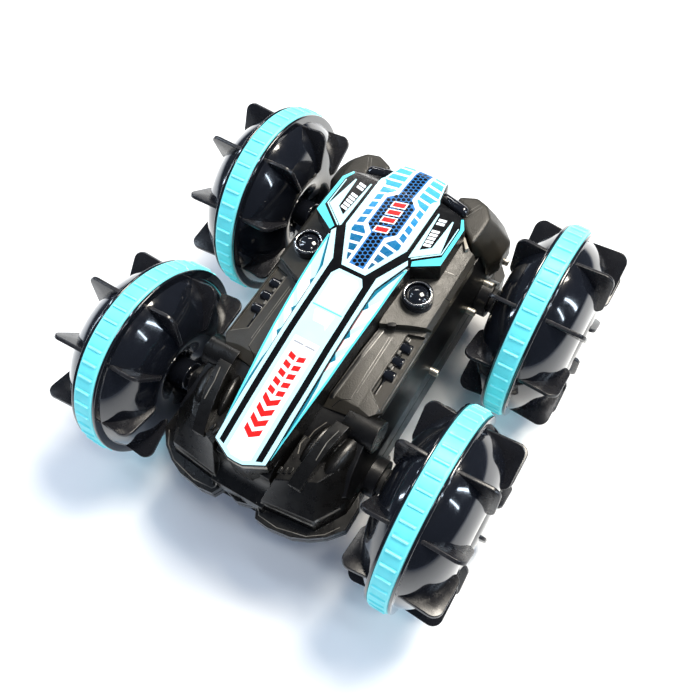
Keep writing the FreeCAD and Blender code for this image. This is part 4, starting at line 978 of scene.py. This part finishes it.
# The fender lines are painted in the highlight colour: painted highlights.
ridges("fender_lines", both([(21.8, 57.5), (25.0, 64.2)], [(23.0, 56.5), (26.3, 63.8)]), 0.3, 0.12, EDGE_HIGHLIGHT,
       fender_ground)
tab = [(26.2, 47.5), (27.0, 48.1), (30.6, 44.2), (29.6, 43.1)]
piece("fender_tabs", joined(*[slab(outline, SEAM + 27.0, SEAM + 30.6, 0.2) for outline in both(tab)]), TAB)
notch = [(18.2, -0.4), (22.4, 1.7), (23.0, 0.3), (20.6, -1.0)]
piece("deck_notches", joined(*[slab(outline, SEAM + 28.0, SEAM + 30.6, 0.15) for outline in both(notch)]),
      SHELL)

nose_ground = ground_of("front_bumper", "front_arches", "upper_shell")
# The arch, slot, lip and lobe lines are painted in the highlight colour: painted highlights along the nose's
# edges.
ridges("arch_lines", both([(24.0, -57.6), (24.3, -50.4), (25.7, -44.6)]), 0.4, 0.25, EDGE_HIGHLIGHT, nose_ground)
ridges("slot_rims", both([(15.6, -57.4), (14.2, -53.6), (15.6, -46.6), (18.2, -42.0)]), 0.45, 0.3, EDGE_HIGHLIGHT,
       nose_ground)
ridges("lip_lines",
       both([(8.6, -77.6), (10.6, -80.6), (18.8, -81.2), (30.0, -78.6), (35.6, -74.6), (39.0, -69.6)]),
       0.4, 0.22, EDGE_HIGHLIGHT, nose_ground)
ridges("lobe_feet", both([(10.2, -77.0), (30.9, -74.7), (36.6, -64.5)]), 0.4, 0.25, EDGE_HIGHLIGHT, nose_ground)
teeth = []
for i in range(3):
    teeth += both(rectangle(0.55, 1.3, 13.4 + 1.8 * i, -65.6 + 0.9 * i))
piece("nose_teeth", joined(*[slab(outline, SEAM + 17.0, SEAM + 21.6 - 0.3, 0.2) for outline in teeth]), BODY)

# Nickel pegs stand out of both flanks.
peg = rounded([(37.0, 0.01), (37.0, 1.5), (41.6, 1.5), (41.6, 0.01)], 0.9, 5, (2,))
for hand, side in SIDES:
    pegs = [moved(lathe(peg, 28), Matrix.Diagonal((side, 1, 1, 1)) @ Matrix.Translation((out, y, SEAM + 7.6)))
            for out, y in ((1.0, 60.6), (0.6, 47.2), (0.0, 32.2), (0.0, 0.8))]
    piece(f"side_pegs_{hand}", joined(*pegs), PIN, slot="steel")

# The power button: a slightly crowned white key with eased corners, level with the ridge.
BUTTON_Y = -16
key = rounded([(-4.95, -21.95), (4.95, -21.95), (4.95, -10.05), (-4.95, -10.05)], 1.1, 5)
layers = ((-2.3, 1.0), (-0.6, 1.0), (-0.25, 0.985), (-0.08, 0.955), (0.0, 0.90), (0.03, 0.5))
key_verts, key_faces = [], []
for rise, shrink in layers:
    key_verts += [(x * shrink, BUTTON_Y + (y - BUTTON_Y) * (0.5 + shrink / 2), top_height(y) + rise)
                  for x, y in key]
count = len(key)
for i in range(len(layers) - 1):
    key_faces += [(i * count + k, i * count + (k + 1) % count, (i + 1) * count + (k + 1) % count,
                   (i + 1) * count + k)
                  for k in range(count)]
key_faces += [tuple(range(count)), tuple(range((len(layers) - 1) * count, len(layers) * count))]
stem = upright_lathe([(SEAM + 30.55, 0.01), (SEAM + 30.55, 1.6), (SEAM + 36.0, 1.6), (SEAM + 36.0, 0.01)], 0,
                     BUTTON_Y, 24)
piece("button_key", joined((key_verts, key_faces), stem), KEY, "power_button", "button_white",
      ("power_button",))

# ---------------------------------------------------------------- stage

floor_mesh = bpy.data.meshes.new("floor")
floor_mesh.from_pydata([(-4, -4, 0), (4, -4, 0), (4, 4, 0), (-4, 4, 0)], [], [(0, 1, 2, 3)])
floor_mesh.materials.append(floor_finish())
floor = bpy.data.objects.new("floor", floor_mesh)
scene.collection.objects.link(floor)
